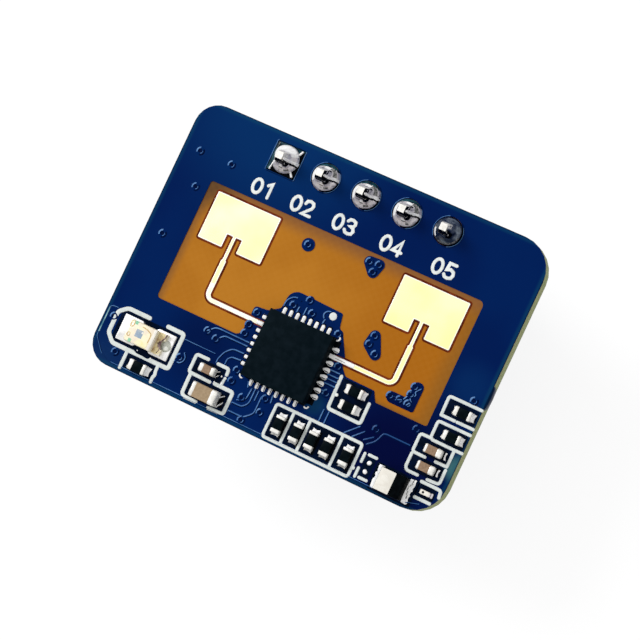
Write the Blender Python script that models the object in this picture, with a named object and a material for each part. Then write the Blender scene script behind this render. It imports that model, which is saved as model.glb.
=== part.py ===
"""Radar sensor board with two patch antennas and a five-way pin header.

Metres, +Z up. The component side faces +Z and the header hangs below the board.
The origin is the middle of the board's underside. Run it in Blender 4.5.
"""

import math

import bmesh
import bpy
from mathutils import Vector
from mathutils.geometry import delaunay_2d_cdt

# Board blank
BOARD_LENGTH = 0.022
BOARD_WIDTH = 0.016
LAMINATE_THICKNESS = 0.0010
MASK_THICKNESS = 0.00004
LEFT_CORNER_RADIUS = 0.0014
RIGHT_CORNER_RADIUS = 0.0019

# Placement grid: parts are placed in steps that divide the board evenly
GRID_COLUMNS = 44
GRID_ROWS = 32

# Copper foil and the clearances between solids
FOIL_THICKNESS = 0.000035
SOLDER_SEAM = 0.00005
SEAT_GAP = 0.00001
MASK_OPENING_GAP = 0.00004

# Pin header
PIN_COUNT = 5
PIN_PITCH = 0.00254
PIN_SIDE = 0.00064
PIN_TIP_ABOVE_BOARD = 0.00145
PIN_TAIL_LENGTH = 0.0060
PIN_TAIL_TAPER = 0.0006
PIN_TIP_CHAMFER = 0.00008
HEADER_FROM_EDGE = 0.00142
HOUSING_WIDTH = 0.0024
HOUSING_HEIGHT = 0.0025
HOUSING_NOTCH = 0.00045
HOLE_CLEARANCE = 0.00005
PAD_ANNULUS = 0.00031
SQUARE_PAD_EXTRA = 0.00005
SOLDER_HEIGHT = 0.00095
SOLDER_COLLAR = 0.00003
SOLDER_CURVE = 1.5

# Radar chip in a leadless package
CHIP_SIZE = 0.0040
CHIP_HEIGHT = 0.00085
CHIP_PAD_PITCH = 0.0004
CHIP_PADS_A_SIDE = 8
CHIP_PAD_WIDTH = 0.00022
CHIP_PAD_REACH = 0.00042
CHIP_PAD_HEIGHT = 0.00006
CHIP_AT = (-0.06, -6.46)
FEED_PAD_ROW = 1

# Patch antennas
PATCH_LENGTH = 0.0040
PATCH_WIDTH = 0.0028
PATCH_SPACING = 0.01178
PATCH_ABOVE_CENTRE = 0.0021
PATCH_CORNER_RADIUS = 0.00006
NOTCH_WIDTH = 0.00039
NOTCH_DEPTH = 0.0008
FEED_NARROW_WIDTH = 0.00018
FEED_NARROW_RUN = 0.0006
FEED_WIDE_WIDTH = 0.00029
FEED_RUN_WIDTH = 0.00023
FEED_BEND_RADIUS = 0.00038

# Window in the solder mask round the antennas
WINDOW_SIDE_MARGIN = 0.00068
WINDOW_TOP_MARGIN = 0.00038
WINDOW_BELOW_FEED_LEFT = 0.0011
WINDOW_BELOW_FEED_RIGHT = 0.00128
FEED_CHANNEL_GAP = 0.00008

# Mask islands between the patches: via places in patch spacings across, patch widths up
ISLAND_MARGIN = 0.00032
SINGLE_ISLAND_MARGIN = 0.00038
ISLANDS_BETWEEN_PATCHES = {
    "mask_island_single": [(-0.1545, 0.2536)],
    "mask_island_trefoil": [(0.1511, 0.4429), (0.1995, 0.4536), (0.1868, 0.2786)],
}
# Mask islands by the feed line: places in chip pad pitches from the right patch and the feed row
ISLANDS_BY_FEED = {
    "mask_island_triple": [(-5.125, 4.975), (-5.375, 3.650), (-4.025, 2.675)],
}
HOOK_FROM_FEED = (1.4625, -1.575)
HOOK_ARM = 0.00062
HOOK_FOOT_LENGTH = 0.0017
HOOK_RISE = 0.00165

# Chip resistors and capacitors: body length, width and height over the solder
SMALL_RESISTOR = (0.00100, 0.00052, 0.00035)
SMALL_CAPACITOR = (0.00100, 0.00050, 0.00050)
LARGE_CAPACITOR = (0.00165, 0.00086, 0.00080)
TINY_PART = (0.00062, 0.00032, 0.00025)
SMALL_CAP_BAND = 0.00024
LARGE_CAP_BAND = 0.00038
TINY_BAND = 0.00016
BAND_STEP = 0.000015
SMALL_TOE = 0.00018
LARGE_TOE = 0.00030
TINY_TOE = 0.00008
EDGE_CHAMFER = 0.00003

# Places on the grid: column, row
ROW_RESISTORS_AT = [(2.14, -13.68), (4.32, -13.68), (6.26, -13.68), (8.12, -13.68), (10.50, -13.68)]
PAIR_RESISTORS_AT = [(8.38, -6.92), (8.44, -8.72)]
EDGE_RESISTORS_AT = [(20.24, -4.14), (20.24, -6.96)]
EDGE_CAPACITORS_AT = [(19.10, -9.08), (19.12, -11.06)]
LAMP_RESISTOR_AT = (-15.50, -14.68)
BYPASS_CAPACITOR_AT = (-7.84, -11.58)
BULK_CAPACITOR_AT = (-6.86, -14.12)
TINY_PART_AT = (20.24, -13.52)

# Indicator lamp
LAMP_AT = (-16.16, -11.28)
LAMP_LAND_LENGTH = 0.00127
LAMP_LAND_WIDTH = 0.00152
LAMP_LAND_GAP = 0.00078
LAMP_LAND_HEIGHT = 0.00016
LAMP_BODY_LENGTH = 0.00215
LAMP_BODY_WIDTH = 0.00130
LAMP_BASE_HEIGHT = 0.00040
LENS_LENGTH = 0.00190
LENS_HEIGHT = 0.00040
LENS_DRAFT = 0.00012

# Clamp diode
DIODE_AT = (16.48, -14.14)
DIODE_LENGTH = 0.00160
DIODE_WIDTH = 0.00130
DIODE_HEIGHT = 0.00088
DIODE_DRAFT = 0.00006
DIODE_LEAD_REACH = 0.00032
DIODE_LEAD_HEIGHT = 0.00020

# Tinned pads of the unused footprint
TINNED_PADS_AT = [(13.14, -13.20), (13.10, -14.24)]
TINNED_PAD_SIZE = (0.00028, 0.00024)
TINNED_PAD_HEIGHT = 0.00008

# Fineness
ARC_STEPS = 6
HOLE_SIDES = 24
JOINT_SIDES = 24
JOINT_RINGS = 5
TRIANGULATION_TOLERANCE = 1e-9

# Levels and places worked out from the sizes
UNDERSIDE = 0.0
LAMINATE_BOTTOM = UNDERSIDE + MASK_THICKNESS
LAMINATE_TOP = LAMINATE_BOTTOM + LAMINATE_THICKNESS
MASK_TOP = LAMINATE_TOP + MASK_THICKNESS
PIN_HALF_DIAGONAL = PIN_SIDE / math.sqrt(2)
HOLE_RADIUS = PIN_HALF_DIAGONAL + HOLE_CLEARANCE
PAD_RADIUS = HOLE_RADIUS + PAD_ANNULUS
HEADER_Y = BOARD_WIDTH / 2 - HEADER_FROM_EDGE
PIN_XS = [(index - (PIN_COUNT - 1) / 2) * PIN_PITCH for index in range(PIN_COUNT)]

# Colours: linear red, green and blue, roughness, metallic
LAMINATE = ("laminate", (0.40, 0.33, 0.16), 0.55, 0.0)
SOLDER_MASK = ("solder mask", (0.003, 0.012, 0.080), 0.30, 0.0)
GOLD_FOIL = ("gold plated foil", (0.95, 0.90, 0.52), 0.30, 1.0)
HEADER_PLASTIC = ("header plastic", (0.012, 0.012, 0.013), 0.50, 0.0)
PIN_METAL = ("plated pin", (0.80, 0.78, 0.72), 0.22, 1.0)
SOLDER = ("solder", (0.68, 0.69, 0.70), 0.25, 1.0)
MOULD_COMPOUND = ("mould compound", (0.012, 0.016, 0.018), 0.60, 0.0)
RESISTOR_GLAZE = ("resistor glaze", (0.010, 0.014, 0.016), 0.35, 0.0)
CAPACITOR_CERAMIC = ("capacitor ceramic", (0.36, 0.24, 0.13), 0.45, 0.0)
LAMP_WHITE = ("lamp base", (0.85, 0.84, 0.76), 0.50, 0.0)
LAMP_RESIN = ("lamp resin", (0.85, 0.80, 0.60), 0.15, 0.0)


def clear_scene():
    """Remove whatever the file opened with."""
    for item in list(bpy.data.objects):
        bpy.data.objects.remove(item, do_unlink=True)


def material(look):
    """The material of one look, made once."""
    name, colour, roughness, metallic = look
    made = bpy.data.materials.get(name)
    if made is None:
        made = bpy.data.materials.new(name)
        made.use_nodes = True
        shader = made.node_tree.nodes["Principled BSDF"]
        shader.inputs["Base Color"].default_value = (*colour, 1.0)
        shader.inputs["Roughness"].default_value = roughness
        shader.inputs["Metallic"].default_value = metallic
    return made


def add_object(name, mesh_builder, look, smooth_angle=None):
    """Turn a bmesh into a named object with its faces pointing out."""
    bmesh.ops.recalc_face_normals(mesh_builder, faces=mesh_builder.faces)
    mesh = bpy.data.meshes.new(name)
    mesh_builder.to_mesh(mesh)
    mesh_builder.free()
    mesh.materials.append(material(look))
    if smooth_angle is not None:
        mesh.shade_smooth()
        mesh.set_sharp_from_angle(angle=smooth_angle)
    item = bpy.data.objects.new(name, mesh)
    bpy.context.collection.objects.link(item)
    return item


def on_grid(place):
    """A grid place, counted from the board's middle, in metres."""
    column, row = place
    return Vector((BOARD_LENGTH * column / GRID_COLUMNS, BOARD_WIDTH * row / GRID_ROWS))


def circle(centre, radius, sides=HOLE_SIDES):
    """A closed outline of points on a circle."""
    turn = math.tau / sides
    return [
        Vector((centre[0] + radius * math.cos(turn * k), centre[1] + radius * math.sin(turn * k)))
        for k in range(sides)
    ]


def rectangle(centre, length, width):
    """A closed outline, counter-clockwise."""
    x, y = length / 2, width / 2
    return [Vector((centre[0] + sx * x, centre[1] + sy * y)) for sx, sy in ((-1, -1), (1, -1), (1, 1), (-1, 1))]


def rounded_outline(corners):
    """A closed outline of corners (x, y, radius), each turned into an arc of that radius."""
    outline = []
    count = len(corners)
    for index, (x, y, radius) in enumerate(corners):
        corner = Vector((x, y))
        before = Vector(corners[index - 1][:2]) - corner
        after = Vector(corners[(index + 1) % count][:2]) - corner
        bend = math.pi - before.angle(after)
        if radius == 0 or bend < 1e-4:
            outline.append(corner)
            continue
        reach = radius * math.tan(bend / 2)
        reach = min(reach, 0.49 * before.length, 0.49 * after.length)
        radius = reach / math.tan(bend / 2)
        start = corner + before.normalized() * reach
        end = corner + after.normalized() * reach
        centre = corner + (before.normalized() + after.normalized()).normalized() * (radius / math.cos(bend / 2))
        steps = max(1, round(ARC_STEPS * bend / (math.pi / 2)))
        side = 1 if before.cross(after) < 0 else -1
        spoke = start - centre
        for step in range(steps):
            turn = side * bend * step / steps
            outline.append(centre + Vector((
                spoke.x * math.cos(turn) - spoke.y * math.sin(turn),
                spoke.x * math.sin(turn) + spoke.y * math.cos(turn),
            )))
        outline.append(end)
    return outline


def is_inside(point, outline):
    """Whether a point lies inside a closed outline."""
    inside = False
    for index, first in enumerate(outline):
        second = outline[index - 1]
        if (first[1] > point[1]) != (second[1] > point[1]):
            crossing = (second[0] - first[0]) * (point[1] - first[1]) / (second[1] - first[1]) + first[0]
            if point[0] < crossing:
                inside = not inside
    return inside


def terraced_solid(floor, regions):
    """A bmesh with a flat floor and a top that steps from region to region.

    Each region is an outline and the height of its top. A later region lies over an earlier
    one, and a height of None cuts a hole.
    """
    points = []
    edges = []
    for outline, _ in regions:
        first = len(points)
        points.extend(Vector(point) for point in outline)
        edges.extend((first + k, first + (k + 1) % len(outline)) for k in range(len(outline)))
    places, _, triangles = delaunay_2d_cdt(points, edges, [], 0, TRIANGULATION_TOLERANCE)[:3]

    tops = {}
    owner = {}
    levels = {}
    for triangle in triangles:
        middle = sum((places[k] for k in triangle), Vector((0, 0))) / 3
        top = None
        for outline, height in regions:
            if is_inside(middle, outline):
                top = height
        if top is None:
            continue
        tops[tuple(triangle)] = top
        for k in range(3):
            owner[(triangle[k], triangle[(k + 1) % 3])] = top
            levels.setdefault(triangle[k], {floor}).add(top)

    builder = bmesh.new()
    made = {}

    def vertex(index, height):
        key = (index, height)
        if key not in made:
            made[key] = builder.verts.new((places[index].x, places[index].y, height))
        return made[key]

    for triangle, top in tops.items():
        builder.faces.new([vertex(k, top) for k in triangle])
        builder.faces.new([vertex(k, floor) for k in reversed(triangle)])
    for (start, end), top in owner.items():
        below = owner.get((end, start), floor)
        if below >= top:
            continue
        rise_at_end = sorted(level for level in levels[end] if below <= level <= top)
        fall_at_start = sorted((level for level in levels[start] if below <= level <= top), reverse=True)
        wall = [vertex(end, level) for level in rise_at_end] + [vertex(start, level) for level in fall_at_start]
        builder.faces.new(wall)
    return builder


def loft(rings):
    """A bmesh through rings of equal counts, each a list of points, closed at both ends."""
    builder = bmesh.new()
    loops = [[builder.verts.new(point) for point in ring] for ring in rings]
    count = len(rings[0])
    for lower, upper in zip(loops, loops[1:]):
        for k in range(count):
            builder.faces.new((lower[k], lower[(k + 1) % count], upper[(k + 1) % count], upper[k]))
    builder.faces.new(list(reversed(loops[0])))
    builder.faces.new(loops[-1])
    return builder


def square_ring(centre, half, height):
    """Four corners of a level square."""
    return [(p.x, p.y, height) for p in rectangle(centre, 2 * half, 2 * half)]


def rectangle_ring(centre, length, width, height):
    """Four corners of a level rectangle."""
    return [(p.x, p.y, height) for p in rectangle(centre, length, width)]


def board_outline():
    """The blank's outline, with tighter corners on its left side."""
    x, y = BOARD_LENGTH / 2, BOARD_WIDTH / 2
    return rounded_outline([
        (-x, -y, LEFT_CORNER_RADIUS),
        (x, -y, RIGHT_CORNER_RADIUS),
        (x, y, RIGHT_CORNER_RADIUS),
        (-x, y, LEFT_CORNER_RADIUS),
    ])


def feed_row():
    """The height on the board of the chip pads that the feed lines reach."""
    return on_grid(CHIP_AT).y + ((CHIP_PADS_A_SIDE - 1) / 2 - FEED_PAD_ROW) * CHIP_PAD_PITCH


def window_outline():
    """The cut in the solder mask: round the antennas, and clear of the chip and its vias."""
    left = -PATCH_SPACING / 2 - PATCH_LENGTH / 2 - WINDOW_SIDE_MARGIN
    right = -left
    top = PATCH_ABOVE_CENTRE + PATCH_WIDTH / 2 + WINDOW_TOP_MARGIN
    feed = feed_row()
    channel = FEED_RUN_WIDTH / 2 + FEED_CHANNEL_GAP
    low_left = feed - WINDOW_BELOW_FEED_LEFT
    low_right = feed - WINDOW_BELOW_FEED_RIGHT
    chip = on_grid(CHIP_AT)
    chip_left, chip_right = chip.x - CHIP_SIZE / 2, chip.x + CHIP_SIZE / 2
    chip_top = chip.y + CHIP_SIZE / 2
    under_chip = CHIP_PAD_WIDTH
    # Round the chip the mask's edge is drawn in steps of the chip's pad pitch
    step = CHIP_PAD_PITCH
    return rounded_outline([
        (left, top, 0.375 * step),
        (left, low_left, 0.55 * step),
        (chip_left - 2.775 * step, low_left, step),
        (chip_left - 2.775 * step, feed - channel, 0.25 * step),
        (chip_left + under_chip, feed - channel, 0),
        (chip_left + under_chip, feed + channel, 0),
        (chip_left - 2.7 * step, feed + channel, 0.25 * step),
        (chip_left - 2.7 * step, chip_top - 0.625 * step, 0.5 * step),
        (chip_left - 0.675 * step, chip_top - 0.425 * step, 0.75 * step),
        (chip_left + 0.9 * step, chip_top + 0.6 * step, 0.625 * step),
        (chip_left + 1.15 * step, chip_top + 3.7 * step, 2.25 * step),
        (chip_right - 0.75 * step, chip_top + 3.425 * step, 0.3 * step),
        (chip_right - 0.35 * step, chip_top + 1.525 * step, 0.75 * step),
        (chip_right + 0.6 * step, chip_top + 0.65 * step, 0.75 * step),
        (chip_right + 2.2 * step, feed + channel, 0.125 * step),
        (chip_right - under_chip, feed + channel, 0),
        (chip_right - under_chip, feed - channel, 0),
        (chip_right + 2.2 * step, feed - channel, 0.125 * step),
        (chip_right + 3.3 * step, feed - 1.725 * step, 0.625 * step),
        (chip_right + 7.825 * step, feed - 1.8 * step, 0.25 * step),
        (chip_right + 8.625 * step, low_right, 0.375 * step),
        (right, low_right, 0.3 * step),
        (right, top, 0.75 * step),
    ])


def between_patches(place):
    """A place between the two patches, in metres."""
    across, up = place
    return Vector((across * PATCH_SPACING, PATCH_ABOVE_CENTRE + up * PATCH_WIDTH))


def by_feed(place):
    """A place by the bend of the right feed line, in metres."""
    across, up = place
    return Vector((PATCH_SPACING / 2 + across * CHIP_PAD_PITCH, feed_row() + up * CHIP_PAD_PITCH))


def hook_outline():
    """The L-shaped island, with its foot to the left and its arm up on the right."""
    corner = by_feed(HOOK_FROM_FEED)
    left = corner.x - HOOK_ARM
    right = left + HOOK_FOOT_LENGTH
    low = corner.y - HOOK_ARM / 2
    round_end = HOOK_ARM * 0.45
    return rounded_outline([
        (left, low, round_end),
        (right, low, round_end / 2),
        (right, low + HOOK_RISE, round_end),
        (right - HOOK_ARM, low + HOOK_RISE, round_end),
        (right - HOOK_ARM, low + HOOK_ARM, round_end / 2),
        (left, low + HOOK_ARM, round_end),
    ])


def island_outline(centres):
    """A smooth outline that keeps the margin round one via or a triangle of three."""
    if len(centres) == 1:
        return circle(centres[0], SINGLE_ISLAND_MARGIN)
    middle = sum(centres, Vector((0, 0))) / len(centres)
    centres.sort(key=lambda point: math.atan2(point.y - middle.y, point.x - middle.x))
    outline = []
    for index, centre in enumerate(centres):
        before = (centre - centres[index - 1]).normalized()
        after = (centres[(index + 1) % len(centres)] - centre).normalized()
        start = math.atan2(-before.x, before.y)
        turn = before.angle(after)
        for step in range(ARC_STEPS + 1):
            angle = start + turn * step / ARC_STEPS
            outline.append(centre + ISLAND_MARGIN * Vector((math.cos(angle), math.sin(angle))))
    return outline


def pad_reach(index):
    """The half width of one header pad. The first pin's is square and a little larger."""
    if index == 0:
        return PAD_RADIUS + SQUARE_PAD_EXTRA
    return PAD_RADIUS


def joint_opening(index):
    """The opening in the mask round one header pad."""
    centre = (PIN_XS[index], HEADER_Y)
    reach = pad_reach(index) + MASK_OPENING_GAP
    if index == 0:
        return rectangle(centre, 2 * reach, 2 * reach)
    return circle(centre, reach)


def land_openings():
    """The openings in the mask under every surface-mounted part."""
    openings = []
    for place, size, band, toe, upright in chip_part_places():
        length, width, _ = size
        centre = on_grid(place)
        for side in (-1, 1):
            reach = band + toe
            offset = side * (length / 2 + toe - reach / 2)
            land = (reach + 2 * MASK_OPENING_GAP, width + 2 * MASK_OPENING_GAP)
            if upright:
                openings.append(rectangle((centre.x, centre.y + offset), land[1], land[0]))
            else:
                openings.append(rectangle((centre.x + offset, centre.y), land[0], land[1]))
    openings += lamp_lands(MASK_OPENING_GAP)
    openings.append(lamp_body(MASK_OPENING_GAP))
    for place in TINNED_PADS_AT:
        length, width = TINNED_PAD_SIZE
        openings.append(rectangle(on_grid(place), length + 2 * MASK_OPENING_GAP, width + 2 * MASK_OPENING_GAP))
    return openings


def lamp_lands(margin):
    """The outlines of the lamp's two lands, grown by a margin."""
    lamp = on_grid(LAMP_AT)
    spread = (LAMP_LAND_GAP + LAMP_LAND_LENGTH) / 2
    return [
        rectangle((lamp.x + side * spread, lamp.y), LAMP_LAND_LENGTH + 2 * margin, LAMP_LAND_WIDTH + 2 * margin)
        for side in (-1, 1)
    ]


def lamp_body(margin):
    """The outline of the lamp's base, grown by a margin."""
    return rectangle(on_grid(LAMP_AT), LAMP_BODY_LENGTH + 2 * margin, LAMP_BODY_WIDTH + 2 * margin)


def chip_part_places():
    """Place, size, band, toe and whether it stands along the board's width, for each chip part."""
    parts = [(place, SMALL_RESISTOR, SMALL_CAP_BAND, SMALL_TOE, True) for place in ROW_RESISTORS_AT]
    parts += [(place, SMALL_RESISTOR, SMALL_CAP_BAND, SMALL_TOE, False) for place in PAIR_RESISTORS_AT]
    parts += [(place, SMALL_RESISTOR, SMALL_CAP_BAND, SMALL_TOE, False) for place in EDGE_RESISTORS_AT]
    parts += [(LAMP_RESISTOR_AT, SMALL_RESISTOR, SMALL_CAP_BAND, SMALL_TOE, False)]
    parts += [(place, SMALL_CAPACITOR, SMALL_CAP_BAND, SMALL_TOE, False) for place in EDGE_CAPACITORS_AT]
    parts += [(BYPASS_CAPACITOR_AT, SMALL_CAPACITOR, SMALL_CAP_BAND, SMALL_TOE, False)]
    parts += [(BULK_CAPACITOR_AT, LARGE_CAPACITOR, LARGE_CAP_BAND, LARGE_TOE, False)]
    parts += [(TINY_PART_AT, TINY_PART, TINY_BAND, TINY_TOE, False)]
    return parts


def make_laminate():
    """The glass-fibre blank, drilled for the header pins."""
    regions = [(board_outline(), LAMINATE_TOP)]
    regions += [(circle((x, HEADER_Y), HOLE_RADIUS), None) for x in PIN_XS]
    add_object("board_laminate", terraced_solid(LAMINATE_BOTTOM, regions), LAMINATE)


def make_solder_masks():
    """The mask films: the top one with its window and openings, the lower one open under the header."""
    regions = [(board_outline(), MASK_TOP), (window_outline(), None)]
    regions += [(joint_opening(index), None) for index in range(PIN_COUNT)]
    regions += [(opening, None) for opening in land_openings()]
    add_object("solder_mask_top", terraced_solid(LAMINATE_TOP, regions), SOLDER_MASK)

    regions = [(board_outline(), LAMINATE_BOTTOM), (housing_outline(MASK_OPENING_GAP), None)]
    add_object("solder_mask_bottom", terraced_solid(UNDERSIDE, regions), SOLDER_MASK)


def make_mask_islands():
    """The mask left standing in the window, over groups of vias."""
    islands = {name: [between_patches(place) for place in vias] for name, vias in ISLANDS_BETWEEN_PATCHES.items()}
    islands |= {name: [by_feed(place) for place in vias] for name, vias in ISLANDS_BY_FEED.items()}
    for name, centres in islands.items():
        add_object(name, terraced_solid(LAMINATE_TOP, [(island_outline(centres), MASK_TOP)]), SOLDER_MASK)
    add_object("mask_island_hook", terraced_solid(LAMINATE_TOP, [(hook_outline(), MASK_TOP)]), SOLDER_MASK)


def antenna_outline(side):
    """One foil: patch, two notches, the matched feed line and its bend to the chip."""
    patch_x = side * PATCH_SPACING / 2
    low = PATCH_ABOVE_CENTRE - PATCH_WIDTH / 2
    high = PATCH_ABOVE_CENTRE + PATCH_WIDTH / 2
    half = PATCH_LENGTH / 2
    narrow = FEED_NARROW_WIDTH / 2
    wide = FEED_WIDE_WIDTH / 2
    run = FEED_RUN_WIDTH / 2
    notch = narrow + NOTCH_WIDTH
    notch_top = low + NOTCH_DEPTH
    taper = low - FEED_NARROW_RUN
    feed = feed_row()
    chip = on_grid(CHIP_AT)
    pad_x = abs(chip.x + side * CHIP_SIZE / 2 - patch_x)
    corner = PATCH_CORNER_RADIUS
    # Offsets from the patch's middle line, positive towards the chip
    path = [
        (half, high, corner), (-half, high, corner), (-half, low, corner),
        (-notch, low, corner), (-notch, notch_top, corner), (-narrow, notch_top, corner),
        (-narrow, taper, 0), (-wide, taper - (wide - narrow), 0),
        (-wide, feed - run, FEED_BEND_RADIUS + wide), (pad_x, feed - run, 0),
        (pad_x, feed + run, 0), (wide, feed + run, FEED_BEND_RADIUS - wide),
        (wide, taper - (wide - narrow), 0), (narrow, taper, 0),
        (narrow, notch_top, corner), (notch, notch_top, corner), (notch, low, corner),
        (half, low, corner),
    ]
    corners = [(patch_x - side * x, y, radius) for x, y, radius in path]
    if side > 0:
        corners.reverse()
    return rounded_outline(corners)


def make_antennas():
    """The two antenna foils, mirror images that lead to opposite sides of the chip."""
    for name, side in (("antenna_left", -1), ("antenna_right", 1)):
        outline = antenna_outline(side)
        add_object(name, terraced_solid(LAMINATE_TOP, [(outline, LAMINATE_TOP + FOIL_THICKNESS)]), GOLD_FOIL)


def housing_outline(margin):
    """The notched outline of the header's plastic strip, grown by a margin."""
    half = HOUSING_WIDTH / 2 + margin
    end = PIN_COUNT * PIN_PITCH / 2
    notch = HOUSING_NOTCH - 0.6 * margin
    near = []
    far = []
    for index in range(PIN_COUNT):
        left = -end + index * PIN_PITCH
        right = left + PIN_PITCH
        if index == 0:
            left -= margin
        if index == PIN_COUNT - 1:
            right += margin
        near += [(left, -half + notch), (left + notch, -half), (right - notch, -half)]
        far += [(right, half - notch), (right - notch, half), (left + notch, half)]
    far_cells = [far[k:k + 3] for k in range(0, len(far), 3)]
    outline = near + [(end + margin, -half + notch)]
    for cell in reversed(far_cells):
        outline += cell
    outline.append((-end - margin, half - notch))
    return [Vector((x, HEADER_Y + y)) for x, y in outline]


def make_header_housing():
    """The plastic strip under the board, notched between its pins so that it can be snapped."""
    hole = PIN_SIDE + 2 * SEAT_GAP
    regions = [(housing_outline(0), UNDERSIDE - SEAT_GAP)]
    regions += [(rectangle((x, HEADER_Y), hole, hole), None) for x in PIN_XS]
    add_object("header_housing", terraced_solid(UNDERSIDE - SEAT_GAP - HOUSING_HEIGHT, regions), HEADER_PLASTIC)


def make_header_pins():
    """Square pins, tapered at the plug end and cut off short above the board."""
    half = PIN_SIDE / 2
    bottom = UNDERSIDE - HOUSING_HEIGHT - PIN_TAIL_LENGTH
    top = MASK_TOP + PIN_TIP_ABOVE_BOARD
    for index, x in enumerate(PIN_XS):
        centre = (x, HEADER_Y)
        rings = [
            square_ring(centre, half * 0.45, bottom),
            square_ring(centre, half, bottom + PIN_TAIL_TAPER),
            square_ring(centre, half, top - PIN_TIP_CHAMFER),
            square_ring(centre, half - PIN_TIP_CHAMFER, top),
        ]
        add_object(f"header_pin_{index + 1}", loft(rings), PIN_METAL)


def reach_of_square(half, angle):
    """How far a square of that half side reaches at an angle."""
    return half / max(abs(math.cos(angle)), abs(math.sin(angle)))


def joint_ring(centre, radius, height, squareness=0.0):
    """A level ring between a circle and a square of the same half width."""
    ring = []
    for k in range(JOINT_SIDES):
        angle = math.tau * k / JOINT_SIDES
        reach = radius + squareness * (reach_of_square(radius, angle) - radius)
        ring.append((centre[0] + reach * math.cos(angle), centre[1] + reach * math.sin(angle), height))
    return ring


def pin_ring(centre, height):
    """A ring of the same count on the square hole that the pin fills."""
    half = PIN_SIDE / 2 + SEAT_GAP
    return [
        (centre[0] + reach_of_square(half, angle) * math.cos(angle),
         centre[1] + reach_of_square(half, angle) * math.sin(angle), height)
        for angle in (math.tau * k / JOINT_SIDES for k in range(JOINT_SIDES))
    ]


def make_solder_joints():
    """Solder that fills each barrel and climbs the pin in a hollow-sided cone."""
    neck = PIN_HALF_DIAGONAL + 2 * SEAT_GAP
    neck_height = LAMINATE_TOP + SOLDER_HEIGHT
    for index, x in enumerate(PIN_XS):
        centre = (x, HEADER_Y)
        square = 1.0 if index == 0 else 0.0
        barrel = HOLE_RADIUS - SEAT_GAP
        pad = pad_reach(index)
        rings = [pin_ring(centre, LAMINATE_BOTTOM), joint_ring(centre, barrel, LAMINATE_BOTTOM),
                 joint_ring(centre, barrel, LAMINATE_TOP), joint_ring(centre, pad, LAMINATE_TOP, square)]
        for step in range(JOINT_RINGS + 1):
            climb = step / JOINT_RINGS
            radius = neck + (pad - neck) * (1 - climb) ** SOLDER_CURVE
            height = LAMINATE_TOP + SOLDER_COLLAR + (neck_height - LAMINATE_TOP - SOLDER_COLLAR) * climb
            rings.append(joint_ring(centre, radius, height, square * (1 - climb) ** 2))
        rings.append(pin_ring(centre, neck_height))
        builder = bmesh.new()
        loops = [[builder.verts.new(point) for point in ring] for ring in rings]
        for inner, outer in zip(loops, loops[1:] + loops[:1]):
            for k in range(JOINT_SIDES):
                after = (k + 1) % JOINT_SIDES
                builder.faces.new((inner[k], inner[after], outer[after], outer[k]))
        add_object(f"solder_joint_{index + 1}", builder, SOLDER, math.radians(40))


def make_radar_chip():
    """The leadless package: a moulded block on a thin sheet that shows as pads round it."""
    chip = on_grid(CHIP_AT)
    floor = MASK_TOP + SEAT_GAP
    pad_top = floor + CHIP_PAD_HEIGHT
    half = CHIP_SIZE / 2
    sunk = CHIP_PAD_WIDTH
    regions = []
    for k in range(CHIP_PADS_A_SIDE):
        along = (k - (CHIP_PADS_A_SIDE - 1) / 2) * CHIP_PAD_PITCH
        middle = half + (CHIP_PAD_REACH - sunk) / 2
        length = CHIP_PAD_REACH + sunk
        for side in (-1, 1):
            regions.append((rectangle((chip.x + along, chip.y + side * middle), CHIP_PAD_WIDTH, length), pad_top))
            regions.append((rectangle((chip.x + side * middle, chip.y + along), length, CHIP_PAD_WIDTH), pad_top))
    regions.append((rectangle(chip, CHIP_SIZE, CHIP_SIZE), floor + CHIP_HEIGHT))
    add_object("radar_chip", terraced_solid(floor, regions), MOULD_COMPOUND)


def make_chip_part(name, place, size, band, toe, upright, look):
    """A chip resistor or capacitor with its end bands and solder feet, as one side profile drawn through.

    The feet stand on the laminate in the mask's openings, and the body clears the mask.
    """
    length, width, height = size
    end = length / 2
    top = SOLDER_SEAM + height
    chamfer = EDGE_CHAMFER
    body_top = top - BAND_STEP
    belly = MASK_THICKNESS + SEAT_GAP
    half = [
        (0, belly), (end - band, belly), (end - band, 0), (end + toe, 0), (end + toe, SOLDER_SEAM / 2),
        (end + toe * 0.35, SOLDER_SEAM + height * 0.22), (end, SOLDER_SEAM + height * 0.55),
        (end, top - chamfer), (end - chamfer, top), (end - band, top), (end - band, body_top), (0, body_top),
    ]
    profile = half[1:-1] + [(-x, z) for x, z in reversed(half[1:-1])]
    centre = on_grid(place)
    sections = []
    for side in (-1, 1):
        offset = side * width / 2
        if upright:
            sections.append([(centre.x - offset, centre.y + x, LAMINATE_TOP + z) for x, z in profile])
        else:
            sections.append([(centre.x + x, centre.y + offset, LAMINATE_TOP + z) for x, z in profile])
    add_object(name, loft(sections), look)


def make_chip_parts():
    """Every chip resistor and capacitor, named by its place."""
    names = [f"row_resistor_{k + 1}" for k in range(len(ROW_RESISTORS_AT))]
    names += [f"pair_resistor_{k + 1}" for k in range(len(PAIR_RESISTORS_AT))]
    names += [f"edge_resistor_{k + 1}" for k in range(len(EDGE_RESISTORS_AT))]
    names += ["lamp_resistor"]
    looks = [RESISTOR_GLAZE] * len(names)
    names += [f"edge_capacitor_{k + 1}" for k in range(len(EDGE_CAPACITORS_AT))]
    names += ["bypass_capacitor", "bulk_capacitor"]
    looks += [CAPACITOR_CERAMIC] * (len(names) - len(looks))
    names += ["tiny_suppressor"]
    looks += [LAMP_WHITE]
    for name, look, (place, size, band, toe, upright) in zip(names, looks, chip_part_places()):
        make_chip_part(name, place, size, band, toe, upright, look)


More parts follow.
